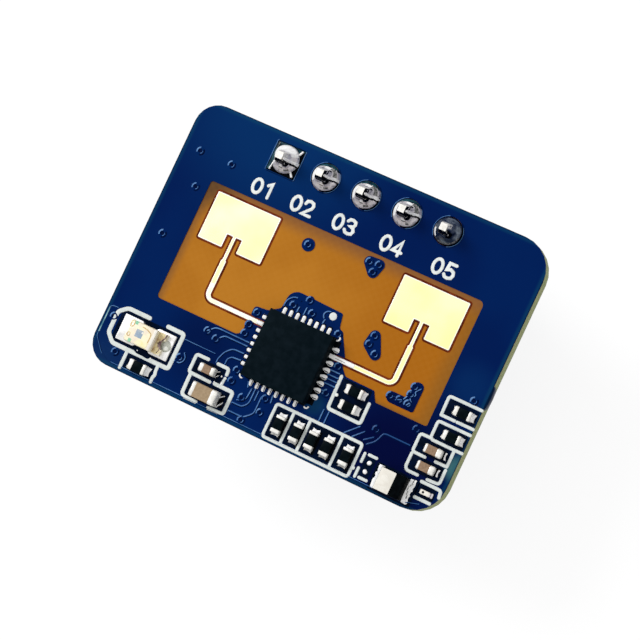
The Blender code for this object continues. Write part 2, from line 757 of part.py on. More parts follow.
def make_lamp():
    """The indicator lamp: a base on two wide soldered lands, and its clear lens."""
    centre = on_grid(LAMP_AT)
    regions = [(land, LAMINATE_TOP + LAMP_LAND_HEIGHT) for land in lamp_lands(0)]
    regions.append((lamp_body(0), LAMINATE_TOP + LAMP_BASE_HEIGHT))
    add_object("lamp_base", terraced_solid(LAMINATE_TOP, regions), LAMP_WHITE)

    width = LAMP_BODY_WIDTH - 2 * SEAT_GAP
    bottom = LAMINATE_TOP + LAMP_BASE_HEIGHT + SEAT_GAP
    middle = bottom + LENS_HEIGHT * 0.7
    top = bottom + LENS_HEIGHT
    rings = [
        rectangle_ring(centre, LENS_LENGTH, width, bottom),
        rectangle_ring(centre, LENS_LENGTH - LENS_DRAFT, width - LENS_DRAFT / 2, middle),
        rectangle_ring(centre, LENS_LENGTH - 2 * LENS_DRAFT, width - LENS_DRAFT, top),
    ]
    add_object("lamp_lens", loft(rings), LAMP_RESIN)


def make_clamp_diode():
    """The moulded diode with a broad flat lead at each end, as one side profile drawn through."""
    centre = on_grid(DIODE_AT)
    half = DIODE_LENGTH / 2
    reach = half + DIODE_LEAD_REACH
    floor = MASK_TOP + SEAT_GAP
    lead = DIODE_LEAD_HEIGHT
    waist = DIODE_HEIGHT * 0.45
    top_half = half - DIODE_DRAFT
    profile = [
        (-reach, 0), (reach, 0), (reach, lead * 0.3), (half + DIODE_LEAD_REACH * 0.3, lead), (half, lead),
        (half + DIODE_DRAFT, waist), (top_half, DIODE_HEIGHT), (-top_half, DIODE_HEIGHT),
        (-half - DIODE_DRAFT, waist), (-half, lead), (-half - DIODE_LEAD_REACH * 0.3, lead), (-reach, lead * 0.3),
    ]
    sections = [
        [(centre.x + x, centre.y + side * DIODE_WIDTH / 2, floor + z) for x, z in profile]
        for side in (-1, 1)
    ]
    add_object("clamp_diode", loft(sections), MOULD_COMPOUND)


def make_tinned_pads():
    """Two bare pads with a low dome of solder, waiting for a part."""
    length, width = TINNED_PAD_SIZE
    for index, place in enumerate(TINNED_PADS_AT):
        centre = on_grid(place)
        rings = [
            rectangle_ring(centre, length, width, LAMINATE_TOP),
            rectangle_ring(centre, length, width, LAMINATE_TOP + FOIL_THICKNESS),
            rectangle_ring(centre, length * 0.6, width * 0.6, LAMINATE_TOP + TINNED_PAD_HEIGHT),
        ]
        add_object(f"tinned_pad_{index + 1}", loft(rings), SOLDER)


def main():
    clear_scene()
    make_laminate()
    make_solder_masks()
    make_mask_islands()
    make_antennas()
    make_header_housing()
    make_header_pins()
    make_solder_joints()
    make_radar_chip()
    make_chip_parts()
    make_lamp()
    make_clamp_diode()
    make_tinned_pads()


main()
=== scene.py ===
"""Dresses a radar sensor board: finishes, printed legend, solder, small parts and the studio round it.

The tables are in millimetres in the board's own frame: +X along its long side, +Y towards the header.
"""

import math
import random

import bmesh
import bpy
from bpy.props import FloatProperty, FloatVectorProperty, PointerProperty
from mathutils import Matrix, Vector


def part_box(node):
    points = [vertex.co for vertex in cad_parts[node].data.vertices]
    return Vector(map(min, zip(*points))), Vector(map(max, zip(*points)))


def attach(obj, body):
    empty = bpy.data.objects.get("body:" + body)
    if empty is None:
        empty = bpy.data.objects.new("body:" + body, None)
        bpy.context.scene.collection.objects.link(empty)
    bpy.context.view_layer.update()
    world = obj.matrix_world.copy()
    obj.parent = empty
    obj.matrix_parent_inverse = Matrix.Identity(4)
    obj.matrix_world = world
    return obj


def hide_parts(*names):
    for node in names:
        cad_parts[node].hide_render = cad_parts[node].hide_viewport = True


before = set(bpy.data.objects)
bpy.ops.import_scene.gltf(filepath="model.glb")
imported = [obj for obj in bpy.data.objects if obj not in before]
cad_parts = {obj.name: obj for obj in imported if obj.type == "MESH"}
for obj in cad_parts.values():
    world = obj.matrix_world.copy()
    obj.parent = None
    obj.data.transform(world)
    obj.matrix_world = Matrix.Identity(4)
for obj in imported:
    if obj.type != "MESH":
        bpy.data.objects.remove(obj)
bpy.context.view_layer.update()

bl_info = {
    "name": "Radar Sensor Board Looks",
    "version": (1, 0, 0),
    "blender": (4, 5, 0),
    "location": "3D View > Sidebar > Sensor Board",
    "description": "Finishes and fine detail for a small radar sensor board",
    "category": "Object",
}

MM = 0.001

# Heights in millimetres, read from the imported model
MASK_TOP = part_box("solder_mask_top")[1].z / MM
LAMINATE_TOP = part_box("solder_mask_top")[0].z / MM
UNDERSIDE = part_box("solder_mask_bottom")[0].z / MM
PIN_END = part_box("header_pin_1")[0].z / MM
BOARD_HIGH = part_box("board_laminate")[1] / MM

# Cross-sections as offset over width and height over full height
CROWN = ((-0.5, 0.0), (-0.44, 0.55), (-0.28, 0.92), (0.0, 1.0), (0.28, 0.92), (0.44, 0.55), (0.5, 0.0))
RIDGE = ((-0.5, 0.0), (-0.3, 0.7), (0.0, 1.0), (0.3, 0.7), (0.5, 0.0))
FILM = ((-0.5, 0.0), (-0.42, 0.9), (0.0, 1.0), (0.42, 0.9), (0.5, 0.0))

# Steps of a ridge's round end and of a rounded corner
END_STEPS = 6
CORNER_STEPS = 4


def linear(hex_colour):
    """The linear colour of an sRGB hex value, with full alpha."""
    channels = [int(hex_colour[k:k + 2], 16) / 255 for k in (1, 3, 5)]
    return (*(c / 12.92 if c <= 0.04045 else ((c + 0.055) / 1.055) ** 2.4 for c in channels), 1.0)


def colour_property(name, description, hex_colour):
    """A colour that a user may change."""
    return FloatVectorProperty(name=name, description=description, default=linear(hex_colour), size=4,
                               min=0.0, max=1.0, subtype="COLOR")


def length_property(name, description, millimetres):
    """A length that a user may change."""
    return FloatProperty(name=name, description=description, default=millimetres * MM, min=0.0,
                         unit="LENGTH", subtype="DISTANCE", precision=5)


def strength_property(name, description, strength):
    """A strength of light that a user may change."""
    return FloatProperty(name=name, description=description, default=strength, min=0.0)


class BoardFinish(bpy.types.PropertyGroup):
    """Colours of the blank, its mask and its foil."""

    mask: colour_property("Mask", "Cured solder mask over copper", "#001F56")
    mask_deep: colour_property("Deep mask", "Mask where the film is thickest", "#010836")
    mask_thin: colour_property("Thin mask", "Mask over bare laminate at the board's edge", "#104A64")
    # The lit tone of raised mask: part thin film over copper, part painted light from the key lamp
    mask_relief: colour_property("Mask relief", "Mask drawn thin over the edges of traces and vias",
                                 "#5480B2")
    laminate: colour_property("Laminate", "Resin face of the blank inside the mask window", "#B47420")
    # Painted shade of the resin by the mask at the window's far side
    laminate_dull: colour_property("Dull laminate", "Resin face near the far side of the window", "#85562E")
    laminate_edge: colour_property("Laminate edge", "Routed glass-fibre edge of the blank", "#8A9664")
    foil: colour_property("Foil", "Immersion gold over nickel on the antenna foils", "#FFFCC0")


class LegendPrint(bpy.types.PropertyGroup):
    """The screen-printed legend."""

    ink: colour_property("Ink", "White epoxy legend ink", "#DBE1DD")
    film: length_property("Ink film", "Thickness of the printed ink", 0.022)
    numeral_height: length_property("Numeral height", "Height of the pin numbers", 1.0)
    numeral_stroke: length_property("Numeral stroke", "Line width of the pin numbers", 0.185)


class SolderWork(bpy.types.PropertyGroup):
    """Solder, vias and traces."""

    solder: colour_property("Solder", "Bright reflowed solder", "#E6E1E3")
    # The dark film inside the frames: dark ground round the lands, with painted shade between the parts
    flux: colour_property("Flux film", "Dark flux left round the soldered parts", "#02102A")
    via_radius: length_property("Via radius", "Radius of the raised ring of a via", 0.18)
    via_rise: length_property("Via rise", "Height of a via's ring over the mask", 0.035)
    trace_rise: length_property("Trace rise", "Height of the mask over a trace's edge", 0.022)


class PartFinish(bpy.types.PropertyGroup):
    """Colours of the mounted parts."""

    chip: colour_property("Chip", "Moulded epoxy of the radar chip", "#040F15")
    glaze: colour_property("Resistor glaze", "Black overglaze of the resistors", "#030A0E")
    ceramic: colour_property("Capacitor", "Fired ceramic of the large capacitor", "#A48C6C")
    ceramic_dark: colour_property("Small capacitor", "Fired ceramic of the small capacitors", "#967A60")
    tin: colour_property("Tin", "Plated tin of the end caps and pins", "#F6F4EF")
    lens: colour_property("Lens", "Cast resin of the lamp", "#FFF6D2")
    header: colour_property("Header", "Moulded nylon strip of the header", "#141415")


class StudioSetup(bpy.types.PropertyGroup):
    """Floor, light and camera."""

    floor: colour_property("Floor", "Paper that the board stands on", "#F7F7F7")
    key_power: strength_property("Key light", "Power of the key lamp in watts", 2.1)
    fill_power: strength_property("Fill light", "Power of the fill lamp in watts", 0.25)
    ceiling: strength_property("Ceiling", "Brightness of the sky overhead, 1 is white", 1.0)
    walls: strength_property("Walls", "Brightness of the sky low down, 1 is white", 0.3)


def add_node(tree, kind, settings=None, inputs=None):
    """Add a node with its settings, and with its inputs as values or as links from sockets."""
    node = tree.nodes.new(kind)
    for name, value in (settings or {}).items():
        setattr(node, name, value)
    for name, value in (inputs or {}).items():
        if isinstance(value, bpy.types.NodeSocket):
            tree.links.new(value, node.inputs[name])
        else:
            node.inputs[name].default_value = value
    return node


def start_finish(name, colour, roughness, metallic=0.0, specular=0.5):
    """Start a material. Returns it with its tree, its shader and the place on the board in metres."""
    made = bpy.data.materials.new(name)
    made.use_nodes = True
    tree = made.node_tree
    shader = tree.nodes["Principled BSDF"]
    for socket, value in (("Base Color", colour), ("Roughness", roughness), ("Metallic", metallic),
                          ("Specular IOR Level", specular)):
        shader.inputs[socket].default_value = value
    return made, tree, shader, add_node(tree, "ShaderNodeTexCoord").outputs["Object"]


def mottled(tree, place, size, first, second, low=0.4, high=0.6):
    """A colour that drifts between two tones in soft patches of a size in millimetres."""
    noise = add_node(tree, "ShaderNodeTexNoise", None,
                     {"Vector": place, "Scale": 1 / (size * MM), "Detail": 2.0})
    spread = add_node(tree, "ShaderNodeMapRange", {"interpolation_type": "SMOOTHSTEP"},
                      {"Value": noise.outputs["Fac"], "From Min": low, "From Max": high})
    blend = add_node(tree, "ShaderNodeMix", {"data_type": "RGBA"},
                     {0: spread.outputs[0], 6: first, 7: second})
    return blend.outputs[2]


def toned(tree, distance, start, full, colour, tone, share=1.0):
    """A colour that turns into a tone as a distance in metres runs from start to full, in millimetres."""
    spread = add_node(tree, "ShaderNodeMapRange", {"interpolation_type": "SMOOTHSTEP"},
                      {"Value": distance, "From Min": start * MM, "From Max": full * MM, "To Max": share})
    blend = add_node(tree, "ShaderNodeMix", {"data_type": "RGBA"},
                     {0: spread.outputs[0], 6: colour, 7: tone})
    return blend.outputs[2]


def toned_round(tree, place, spot, start, full, colour, tone):
    """A colour that turns into a tone round a spot, from a start radius to a full one in millimetres."""
    away = add_node(tree, "ShaderNodeVectorMath", {"operation": "DISTANCE"},
                    {0: place, 1: tuple(axis * MM for axis in spot)})
    return toned(tree, away.outputs["Value"], start, full, colour, tone)


def grained(tree, shader, place, size, depth):
    """Raise a soft uneven grain on a finish. Its size and depth are in millimetres."""
    noise = add_node(tree, "ShaderNodeTexNoise", None,
                     {"Vector": place, "Scale": 1 / (size * MM), "Detail": 2.0})
    bump = add_node(tree, "ShaderNodeBump", None,
                    {"Height": noise.outputs["Fac"], "Distance": 2.5 * depth * MM})
    tree.links.new(bump.outputs["Normal"], shader.inputs["Normal"])


def tone_of(tone):
    """The linear colour of a hex value, or of a user's colour given by its group and name."""
    if tone.startswith("#"):
        return linear(tone)
    group, name = tone.split(".")
    return getattr(getattr(bpy.context.scene, group), name)


# Zones of film depth in the mask: middle, where the zone starts, where it is full, tone. It pools round
# the low right corner, where the copper below is widest, and thins again at that corner's edge.
MASK_ZONES = (
    (-6.0, 9.5, 9.0, 2.5, "#032C60"), (-5.0, -4.6, 3.6, 0.5, "#001546"), (-10.0, -8.0, 2.4, 0.3, "#0C2A58"),
    (9.9, -0.6, 2.0, 0.3, "#03265A"), (2.4, -5.0, 0.9, 0.1, "#0D3C66"),
    (7.2, -5.6, 5.5, 1.0, "board_finish.mask_deep"), (11.1, -4.9, 1.0, 0.3, "#3A666C"),
)


def solder_mask(name):
    """Liquid epoxy mask, sprayed and cured: a deep film with faint orange peel, paler where it is thin."""
    look = bpy.context.scene.board_finish
    made, tree, shader, place = start_finish(name, look.mask, 0.3, 0.0, 0.015)
    colour = mottled(tree, place, 6.0, look.mask, linear("#001A50"), 0.35, 0.65)
    for x, y, begin, full, tone in MASK_ZONES:
        colour = toned_round(tree, place, (x, y, MASK_TOP), begin, full, colour, tone_of(tone))
    # Past the copper pour the film lies on bare laminate and looks thinner.
    # At the very edge it is painted dark, as shade where it rolls over
    axes = add_node(tree, "ShaderNodeSeparateXYZ", None, {0: place})
    past = []
    for axis, reach in (("X", BOARD_HIGH.x), ("Y", BOARD_HIGH.y)):
        away = add_node(tree, "ShaderNodeMath", {"operation": "ABSOLUTE"}, {0: axes.outputs[axis]})
        past.append(add_node(tree, "ShaderNodeMath", {"operation": "SUBTRACT"},
                             {0: away.outputs[0], 1: reach * MM}).outputs[0])
    rim = add_node(tree, "ShaderNodeMath", {"operation": "MAXIMUM"}, {0: past[0], 1: past[1]}).outputs[0]
    colour = toned(tree, rim, -0.3, -0.12, colour, look.mask_thin, 0.32)
    colour = toned(tree, rim, -0.07, -0.02, colour, linear("#000E2C"), 0.8)
    tree.links.new(colour, shader.inputs["Base Color"])
    # Orange peel of about 0.3 mm
    grained(tree, shader, place, 0.3, 0.001)
    return made


def lit_flank_mask(name):
    """Thin mask over raised copper: paler blue, partly painted light, fainter where the film pools at low
    right.
    """
    pale = bpy.context.scene.board_finish.mask_relief
    made, tree, shader, place = start_finish(name, pale, 0.3, 0.0, 0.1)
    colour = mottled(tree, place, 0.8, pale, linear("#3A669C"))
    colour = toned_round(tree, place, (7.4, -5.2, MASK_TOP), 2.6, 1.4, colour, linear("#1F477C"))
    tree.links.new(colour, shader.inputs["Base Color"])
    return made


def glass_epoxy_laminate(name):
    """Woven glass in amber resin: warm and satin inside the window, pale and fibrous on the routed edge."""
    look = bpy.context.scene.board_finish
    made, tree, shader, place = start_finish(name, look.laminate, 0.5, 0.0, 0.04)
    axes = add_node(tree, "ShaderNodeSeparateXYZ", None, {0: place})
    warm = mottled(tree, place, 3.5, look.laminate, linear("#AC6C1A"), 0.35, 0.65)
    # The resin turns a deeper orange towards the right, and is painted duller and browner as shade
    # next to the mask that rings it
    low, high = window_box()
    for axis, begin, full, tone in (
        ("X", -1.0, 6.0, "#A66310"), ("X", low.x + 0.6, low.x, "#8A5A2A"),
        ("X", high.x - 1.3, high.x, "#8F5B1C"), ("Y", low.y + 0.3, low.y, "#8F5B1C"),
        ("Y", high.y - 1.1, high.y, "board_finish.laminate_dull"),
    ):
        warm = toned(tree, axes.outputs[axis], begin, full, warm, tone_of(tone))
    # The painted shade is deepest in the window's far left corner
    warm = toned_round(tree, place, (low.x, high.y, LAMINATE_TOP), 2.6, 0.2, warm, linear("#5E4024"))
    # The weave is drawn at 0.5 mm, a little coarser than the cloth, so that it shows at all
    threads = []
    for axis in ("X", "Y"):
        turn = add_node(tree, "ShaderNodeMath", {"operation": "MULTIPLY"},
                        {0: axes.outputs[axis], 1: math.tau / (0.5 * MM)})
        threads.append(add_node(tree, "ShaderNodeMath", {"operation": "SINE"}, {0: turn.outputs[0]}))
    weave = add_node(tree, "ShaderNodeMath", {"operation": "MULTIPLY"},
                     {0: threads[0].outputs[0], 1: threads[1].outputs[0]})
    faint = add_node(tree, "ShaderNodeMapRange", None,
                     {"Value": weave.outputs[0], "From Min": -1.0, "To Min": 0.0, "To Max": 0.04}).outputs[0]
    warm = add_node(tree, "ShaderNodeMix", {"data_type": "RGBA"}, {0: faint, 6: warm, 7: linear("#D79A4A")})
    bump = add_node(tree, "ShaderNodeBump", None, {"Height": faint, "Distance": 0.01 * MM})
    tree.links.new(bump.outputs["Normal"], shader.inputs["Normal"])
    # The routed wall shows layers of cloth about 0.2 mm thick
    layers = add_node(tree, "ShaderNodeMapping", None, {"Vector": place, "Scale": (1.0, 1.0, 6.0)})
    pale = mottled(tree, layers.outputs[0], 0.9, look.laminate_edge, linear("#989868"), 0.3, 0.7)
    both = toned(tree, axes.outputs["Z"], LAMINATE_TOP - 0.02, LAMINATE_TOP - 0.01, pale, warm.outputs[2])
    tree.links.new(both, shader.inputs["Base Color"])
    return made


LAYERED_FINISHES = {
    "cured_solder_mask": solder_mask, "mask_over_raised_copper": lit_flank_mask,
    "glass_epoxy_laminate": glass_epoxy_laminate,
}

# The other finishes: two tones, roughness, metallic, specular level, size of the patches, spread of the
# tones, and the size and depth of the grain. A tone is a hex value or one of the user's colours.
SURFACES = {
    # Mask stretched over the edge of the copper pour beside the board's rim: a thin pale teal line
    "mask_over_pour_edge": ("#8FB9BE", "#4C7F92", 0.3, 0.0, 0.1, 0.9),
    # Raised mask facing away from the key lamp: a darker blue of painted shade
    "mask_pooled_at_copper": ("#001440", "#000E34", 0.3, 0.0, 0.015, 0.8),
    # Mask sunk into the drilled holes: almost black blue
    "mask_sunk_in_holes": ("#000A2E", "#02123C", 0.3, 0.0, 0.015, 0.1),
    # Thin gold over satin nickel: a pale, even yellow metal with a soft sheen
    "immersion_gold": ("board_finish.foil", "#FFF7A8", 0.38, 1.0, 0.5, 2.5, (0.3, 0.7), (0.12, 0.0003)),
    # The foil's rolled-over plated edge, painted as a thin white highlight where it catches the light
    "bright_gold_edge": ("#FFFEFA", "#FFFAE0", 0.35, 0.2, 0.5, 0.6),
    # Tin that has crept along the narrow feed and turned the gold almost white
    "tin_washed_gold": ("#FFFDF0", "#FFF6D2", 0.35, 0.5, 0.5, 0.5),
    # Dark brown painted on the resin round the foils, as the shadow of their thickness
    "etch_stained_resin": ("#541A06", "#77300E", 0.6, 0.0, 0.05, 0.7),
    # Screen-printed epoxy ink: chalky white, slightly uneven where the mesh left it thin
    "screen_printed_ink": ("legend_print.ink", "#CDD4D1", 0.55, 0.0, 0.2, 0.25, (0.3, 0.8), (0.08, 0.001)),
    # The same ink where the mesh laid it thick: a cleaner white
    "screen_printed_ink_heavy": ("#E9EDEA", "#DCE1DE", 0.5, 0.0, 0.2, 0.3),
    # A dark glossy film: inside the printed frames the dark ground round the lands with painted shade
    # between the parts, and flux spilt under the lamp
    "baked_flux": ("solder_work.flux", "#020A1A", 0.3, 0.0, 0.015, 0.5, (0.35, 0.7)),
    # Painted deep shade beside the solder and the parts, and painted dark reflections on the pins
    # and joints: black and glassy
    "burnt_flux": ("#010206", "#03060C", 0.2, 0.0, 0.02, 0.3),
    # Tin-silver solder frozen bright: rippled mirror metal with dull grain
    "reflowed_solder": ("solder_work.solder", "#9C989C", 0.36, 0.45, 0.5, 0.22, (0.5, 0.72), (0.25, 0.003)),
    # The crests of the solder, where the surface froze smooth and mirrors the lamp:
    # painted almost white as a highlight
    "bright_solder_crest": ("#FFFFFF", "#F4F3F1", 0.45, 0.1),
    # The shaded flanks of the solder, painted grey: grainy and satin
    "dull_solder_flank": ("#A6A5A0", "#4E5254", 0.4, 0.7, 0.5, 0.1, (0.35, 0.65), (0.1, 0.003)),
    # Solder flank painted dark teal for the mask that it reflects
    "solder_glazed_with_flux": ("#0A2834", "#234E58", 0.3, 0.0, 0.05, 0.3),
    # Solder under a skin of clear dark flux, painted slate blue for the dark that it reflects: glassy
    "solder_under_flux": ("#1B2C48", "#77828F", 0.25, 0.6, 0.5, 0.7, (0.42, 0.62), (0.3, 0.003)),
    # Matte electroplated tin on end caps and pins: pale satin silver
    "plated_tin": ("part_finish.tin", "#E2E0D8", 0.38, 0.3, 0.5, 0.25, (0.3, 0.7), (0.08, 0.00015)),
    # Wide solder lands, painted near white for the studio that they reflect, with faint grey pooling
    "levelled_solder": ("#FBFAF8", "#E4E2DF", 0.42, 0.5, 0.5, 0.5, (0.5, 0.8), (0.2, 0.002)),
    # Transfer-moulded epoxy: near black. Its grain is drawn at 0.07 mm, coarser than the real 0.02 mm
    "moulded_epoxy": ("part_finish.chip", "#0C171E", 0.6, 0.0, 0.02, 0.4, (0.3, 0.8), (0.07, 0.003)),
    # Fired black overglaze: smooth, glassy and slightly domed
    "resistor_overglaze": ("part_finish.glaze", "#061014", 0.35, 0.0, 0.02, 0.3),
    # Sintered alumina body of the resistors, near black along its thin bare edges
    "sintered_alumina": ("#12191B", "#0C1214", 0.7, 0.0, 0.05, 0.1),
    # Fired ceramic of the large capacitor: matte tan with a fine even grain
    "fired_ceramic_tan": ("part_finish.ceramic", "#988060", 0.5, 0.0, 0.4, 0.12, (0.3, 0.7), (0.05, 0.0005)),
    # Fired ceramic of the small capacitors: browner, with the same grain
    "fired_ceramic_brown": ("part_finish.ceramic_dark", "#84684E", 0.5, 0.0, 0.4, 0.12, (0.3, 0.7),
                            (0.05, 0.0005)),
    # Injection-moulded nylon: black, with a fine moulded grain and a soft sheen
    "moulded_nylon": ("part_finish.header", "#1D1D1F", 0.48, 0.0, 0.45, 0.9, (0.4, 0.6), (0.09, 0.002)),
    # Cast lamp resin over its white cup: milky cream with warmer and clearer zones
    "cast_lens_resin": ("part_finish.lens", "#F1E4CF", 0.16, 0.0, 0.5, 0.45, (0.35, 0.65)),
    # Lamp resin lit from the phosphor below it: a clear pale yellow
    "phosphor_lit_resin": ("#F6EEB2", "#F9F2CC", 0.2, 0.0, 0.5, 0.3),
    # The cup's edge seen through the resin: a thin amber line
    "amber_seam": ("#C9A566", "#E3CF9C", 0.3, 0.0, 0.4, 0.25),
    # Gold bond pads under a thin resin, stained brown round the wires
    "bond_pad_gold": ("#E6D6A4", "#A98558", 0.35, 0.2, 0.5, 0.35, (0.42, 0.68)),
    # The lamp's blue-grey crystal, seen softly through the resin
    "lamp_crystal": ("#97AABD", "#B2BCC4", 0.3, 0.0, 0.2, 0.25),
    # Green polarity dots under the resin
    "polarity_dye": ("#8CCBA6", "#9AD0AE", 0.4, 0.0, 0.4),
    # Fine wires and their drops of brown glue
    "glued_bond_wire": ("#4A2826", "#9A8482", 0.3, 0.0, 0.3, 0.2, (0.42, 0.6)),
    # Pale moulded base of the lamp
    "pale_lamp_base": ("#EFE7CF", "#DCCFA8", 0.45, 0.0, 0.4),
    # Grey plated half hole at the lamp's end
    "plated_half_hole": ("#E0E1D8", "#B6B8AC", 0.3, 0.1, 0.5, 0.3),
    # Moulded epoxy of the diode: blacker and smoother than the chip's
    "moulded_epoxy_black": ("#020406", "#05090C", 0.5, 0.0, 0.015, 0.3),
    # Cream polarity band baked on the diode
    "baked_band_ink": ("#EFEBE1", "#E8E3D8", 0.45, 0.0, 0.4, 0.3),
    # A burnt dot of black ink
    "black_ink_dot": ("#070709", "#101014", 0.4, 0.0, 0.1),
}


def surface(name, first, second, roughness, metallic=0.0, specular=0.5, size=0.2, spread=(0.4, 0.6),
            grain=None):
    """A finish in two close tones, in patches of a size in millimetres, with a grain where it has one."""
    first, second = tone_of(first), tone_of(second)
    made, tree, shader, place = start_finish(name, first, roughness, metallic, specular)
    tree.links.new(mottled(tree, place, size, first, second, *spread), shader.inputs["Base Color"])
    if grain:
        grained(tree, shader, place, *grain)
    return made


def finish(name):
    """The material of a name, made once."""
    made = bpy.data.materials.get(name)
    if made:
        return made
    return LAYERED_FINISHES[name](name) if name in LAYERED_FINISHES else surface(name, *SURFACES[name])


def set_finish(node, name):
    """Give a CAD node a finish in every material slot."""
    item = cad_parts[node]
    if not item.material_slots:
        item.data.materials.append(None)
    for slot in item.material_slots:
        slot.link = "OBJECT"
        slot.material = finish(name)


# Mesh helpers, in millimetres

def new_mesh(name, builder, finishes):
    """Turn a bmesh in millimetres into an object."""
    bmesh.ops.scale(builder, vec=(MM, MM, MM), verts=builder.verts)
    mesh = bpy.data.meshes.new(name)
    builder.to_mesh(mesh)
    builder.free()
    for material in finishes:
        mesh.materials.append(material)
    item = bpy.data.objects.new(name, mesh)
    bpy.context.scene.collection.objects.link(item)
    return item


def new_piece(name, builder, finishes, replaced=(), sharp=42.0):
    """Turn a bmesh in millimetres into a piece that rides on the board."""
    piece = new_mesh(name, builder, [finish(key) for key in finishes])
    piece.data.shade_smooth()
    piece.data.set_sharp_from_angle(angle=math.radians(sharp))
    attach(piece, "root")
    if replaced:
        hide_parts(*replaced)


def face_up(faces, finish_index=0):
    """Turn faces so that they look up, and give them a finish."""
    for face in faces:
        face.normal_update()
        if face.normal.z < 0:
            face.normal_flip()
        face.material_index = finish_index


def face_out(builder, axis):
    """Turn the faces of an open shell so that they look out, and for the most part along an axis."""
    bmesh.ops.recalc_face_normals(builder, faces=builder.faces)
    if sum(face.normal[axis] * face.calc_area() for face in builder.faces) < 0:
        bmesh.ops.reverse_faces(builder, faces=builder.faces)


def skin(builder, rows, closed=False):
    """Lay faces between rows of points. A point that comes twice in a face gives a triangle."""
    made = []
    for near, far in zip(rows, rows[1:]):
        for j in range(len(near) - (not closed)):
            after = (j + 1) % len(near)
            made.append(builder.faces.new(list(dict.fromkeys((near[j], near[after], far[after], far[j])))))
    return made


def sheet(builder, steps, across, place, finish_index=0):
    """A sheet that looks up, with its points placed by how far out they are, 0 to 1, and how far across."""
    made = skin(builder, [[builder.verts.new(place(row / steps, u)) for u in across]
                          for row in range(steps + 1)])
    face_up(made, finish_index)
    return made


def sweep(builder, path, width, base, height, closed=False, section=CROWN, finish_index=0):
    """Draw a low ridge of a cross-section along a path, with round ends. Returns its faces."""
    middle = len(section) // 2
    points = [Vector(point) for point in path]
    count = len(points)

    def spoke(centre, direction, profile):
        places = [(centre + direction * offset * width, rise) for offset, rise in profile]
        return [builder.verts.new((place.x, place.y, base + height * rise)) for place, rise in places]

    rows = []
    for k, here in enumerate(points):
        back = here - points[k - 1] if closed or k else None
        ahead = points[(k + 1) % count] - here if closed or k < count - 1 else None
        back = (back or ahead).normalized()
        ahead = (ahead or back).normalized()
        along = (back + ahead).normalized()
        across = Vector((-along.y, along.x))
        stretch = 1 / max(0.5, across.dot(Vector((-back.y, back.x))))
        rows.append(spoke(here, across * stretch, section))
    made = skin(builder, rows + rows[:1] if closed else rows)
    ends = () if closed else ((rows[0], points[0], points[1]), (rows[-1], points[-1], points[-2]))
    for row, here, inner in ends:
        out = (here - inner).normalized()
        across = Vector((-out.y, out.x))
        if (row[-1].co.xy - here).dot(across) < 0:
            row = row[::-1]
        fans = [row[middle + 1:]]
        for step in range(1, END_STEPS):
            turn = math.pi * step / END_STEPS
            fans.append(spoke(here, across * math.cos(turn) + out * math.sin(turn), section[middle + 1:]))
        fans.append(row[middle - 1::-1])
        made += skin(builder, fans)
        made += [builder.faces.new((row[middle], near[0], far[0])) for near, far in zip(fans, fans[1:])]
    face_up(made, finish_index)
    return made


def rounded(points, radius, closed=False):
    """A path with its corners turned into short arcs."""
    points = [Vector(point) for point in points]
    path = []
    for k, corner in enumerate(points):
        if not closed and k in (0, len(points) - 1):
            path.append(corner)
            continue
        before = points[k - 1] - corner
        after = points[(k + 1) % len(points)] - corner
        reach = min(radius, 0.45 * before.length, 0.45 * after.length)
        start = corner + before.normalized() * reach
        end = corner + after.normalized() * reach
        for t in (step / CORNER_STEPS for step in range(CORNER_STEPS + 1)):
            path.append(start * (1 - t) ** 2 + corner * 2 * t * (1 - t) + end * t ** 2)
    return path


def turned(builder, centre, base, profile, sides=20, finish_index=0, radius=1.0, height=1.0):
    """Turn a profile about an upright axis. Its points count in a radius, and in a height over a base."""
    rings = []
    for out, up in profile:
        places = [(centre[0] + radius * out * math.cos(math.tau * k / sides),
                   centre[1] + radius * out * math.sin(math.tau * k / sides), base + height * up)
                  for k in range(sides)]
        rings.append([builder.verts.new(place) for place in places] if out
                     else [builder.verts.new(places[0])] * sides)
    made = skin(builder, rings, True)
    face_up(made, finish_index)
    return made


def plate(builder, outline, base, height, finish_index=0, bevel=0.0, corner=0.0):
    """Raise an outline into a closed plate, with rounded corners and with its upper edge bevelled."""
    points = rounded(outline, corner, True) if corner else [Vector(point) for point in outline]
    if sum(a.cross(b) for a, b in zip(points, points[1:] + points[:1])) < 0:
        points.reverse()
    top = base + height
    levels = [(0.0, base), (0.0, top - bevel)]
    if bevel:
        levels += [(bevel * 0.3, top - bevel * 0.3), (bevel, top)]
    loops = [[builder.verts.new((p.x, p.y, level)) for p in grown(points, -inset)] for inset, level in levels]
    caps = [builder.faces.new(loops[-1]), builder.faces.new(loops[0][::-1])]
    for face in skin(builder, loops, True) + caps:
        face.material_index = finish_index


def grown(points, margin):
    """A counter-clockwise outline moved out by a margin."""
    moved = []
    for k, here in enumerate(points):
        back = (here - points[k - 1]).normalized()
        ahead = (points[(k + 1) % len(points)] - here).normalized()
        along = (back + ahead).normalized()
        out = Vector((along.y, -along.x))
        moved.append(here + out * margin / max(0.4, out.dot(Vector((back.y, -back.x)))))
    return moved


def heading(angle):
    """The unit vector of an angle in radians."""
    return Vector((math.cos(angle), math.sin(angle)))


def placed(points, centre):
    """Points given from a centre, set in their place on the board."""
    return [(centre.x + x, centre.y + y) for x, y in points]


def rectangle(low_x, low_y, high_x, high_y):
    """A counter-clockwise rectangle."""
    return [(low_x, low_y), (high_x, low_y), (high_x, high_y), (low_x, high_y)]


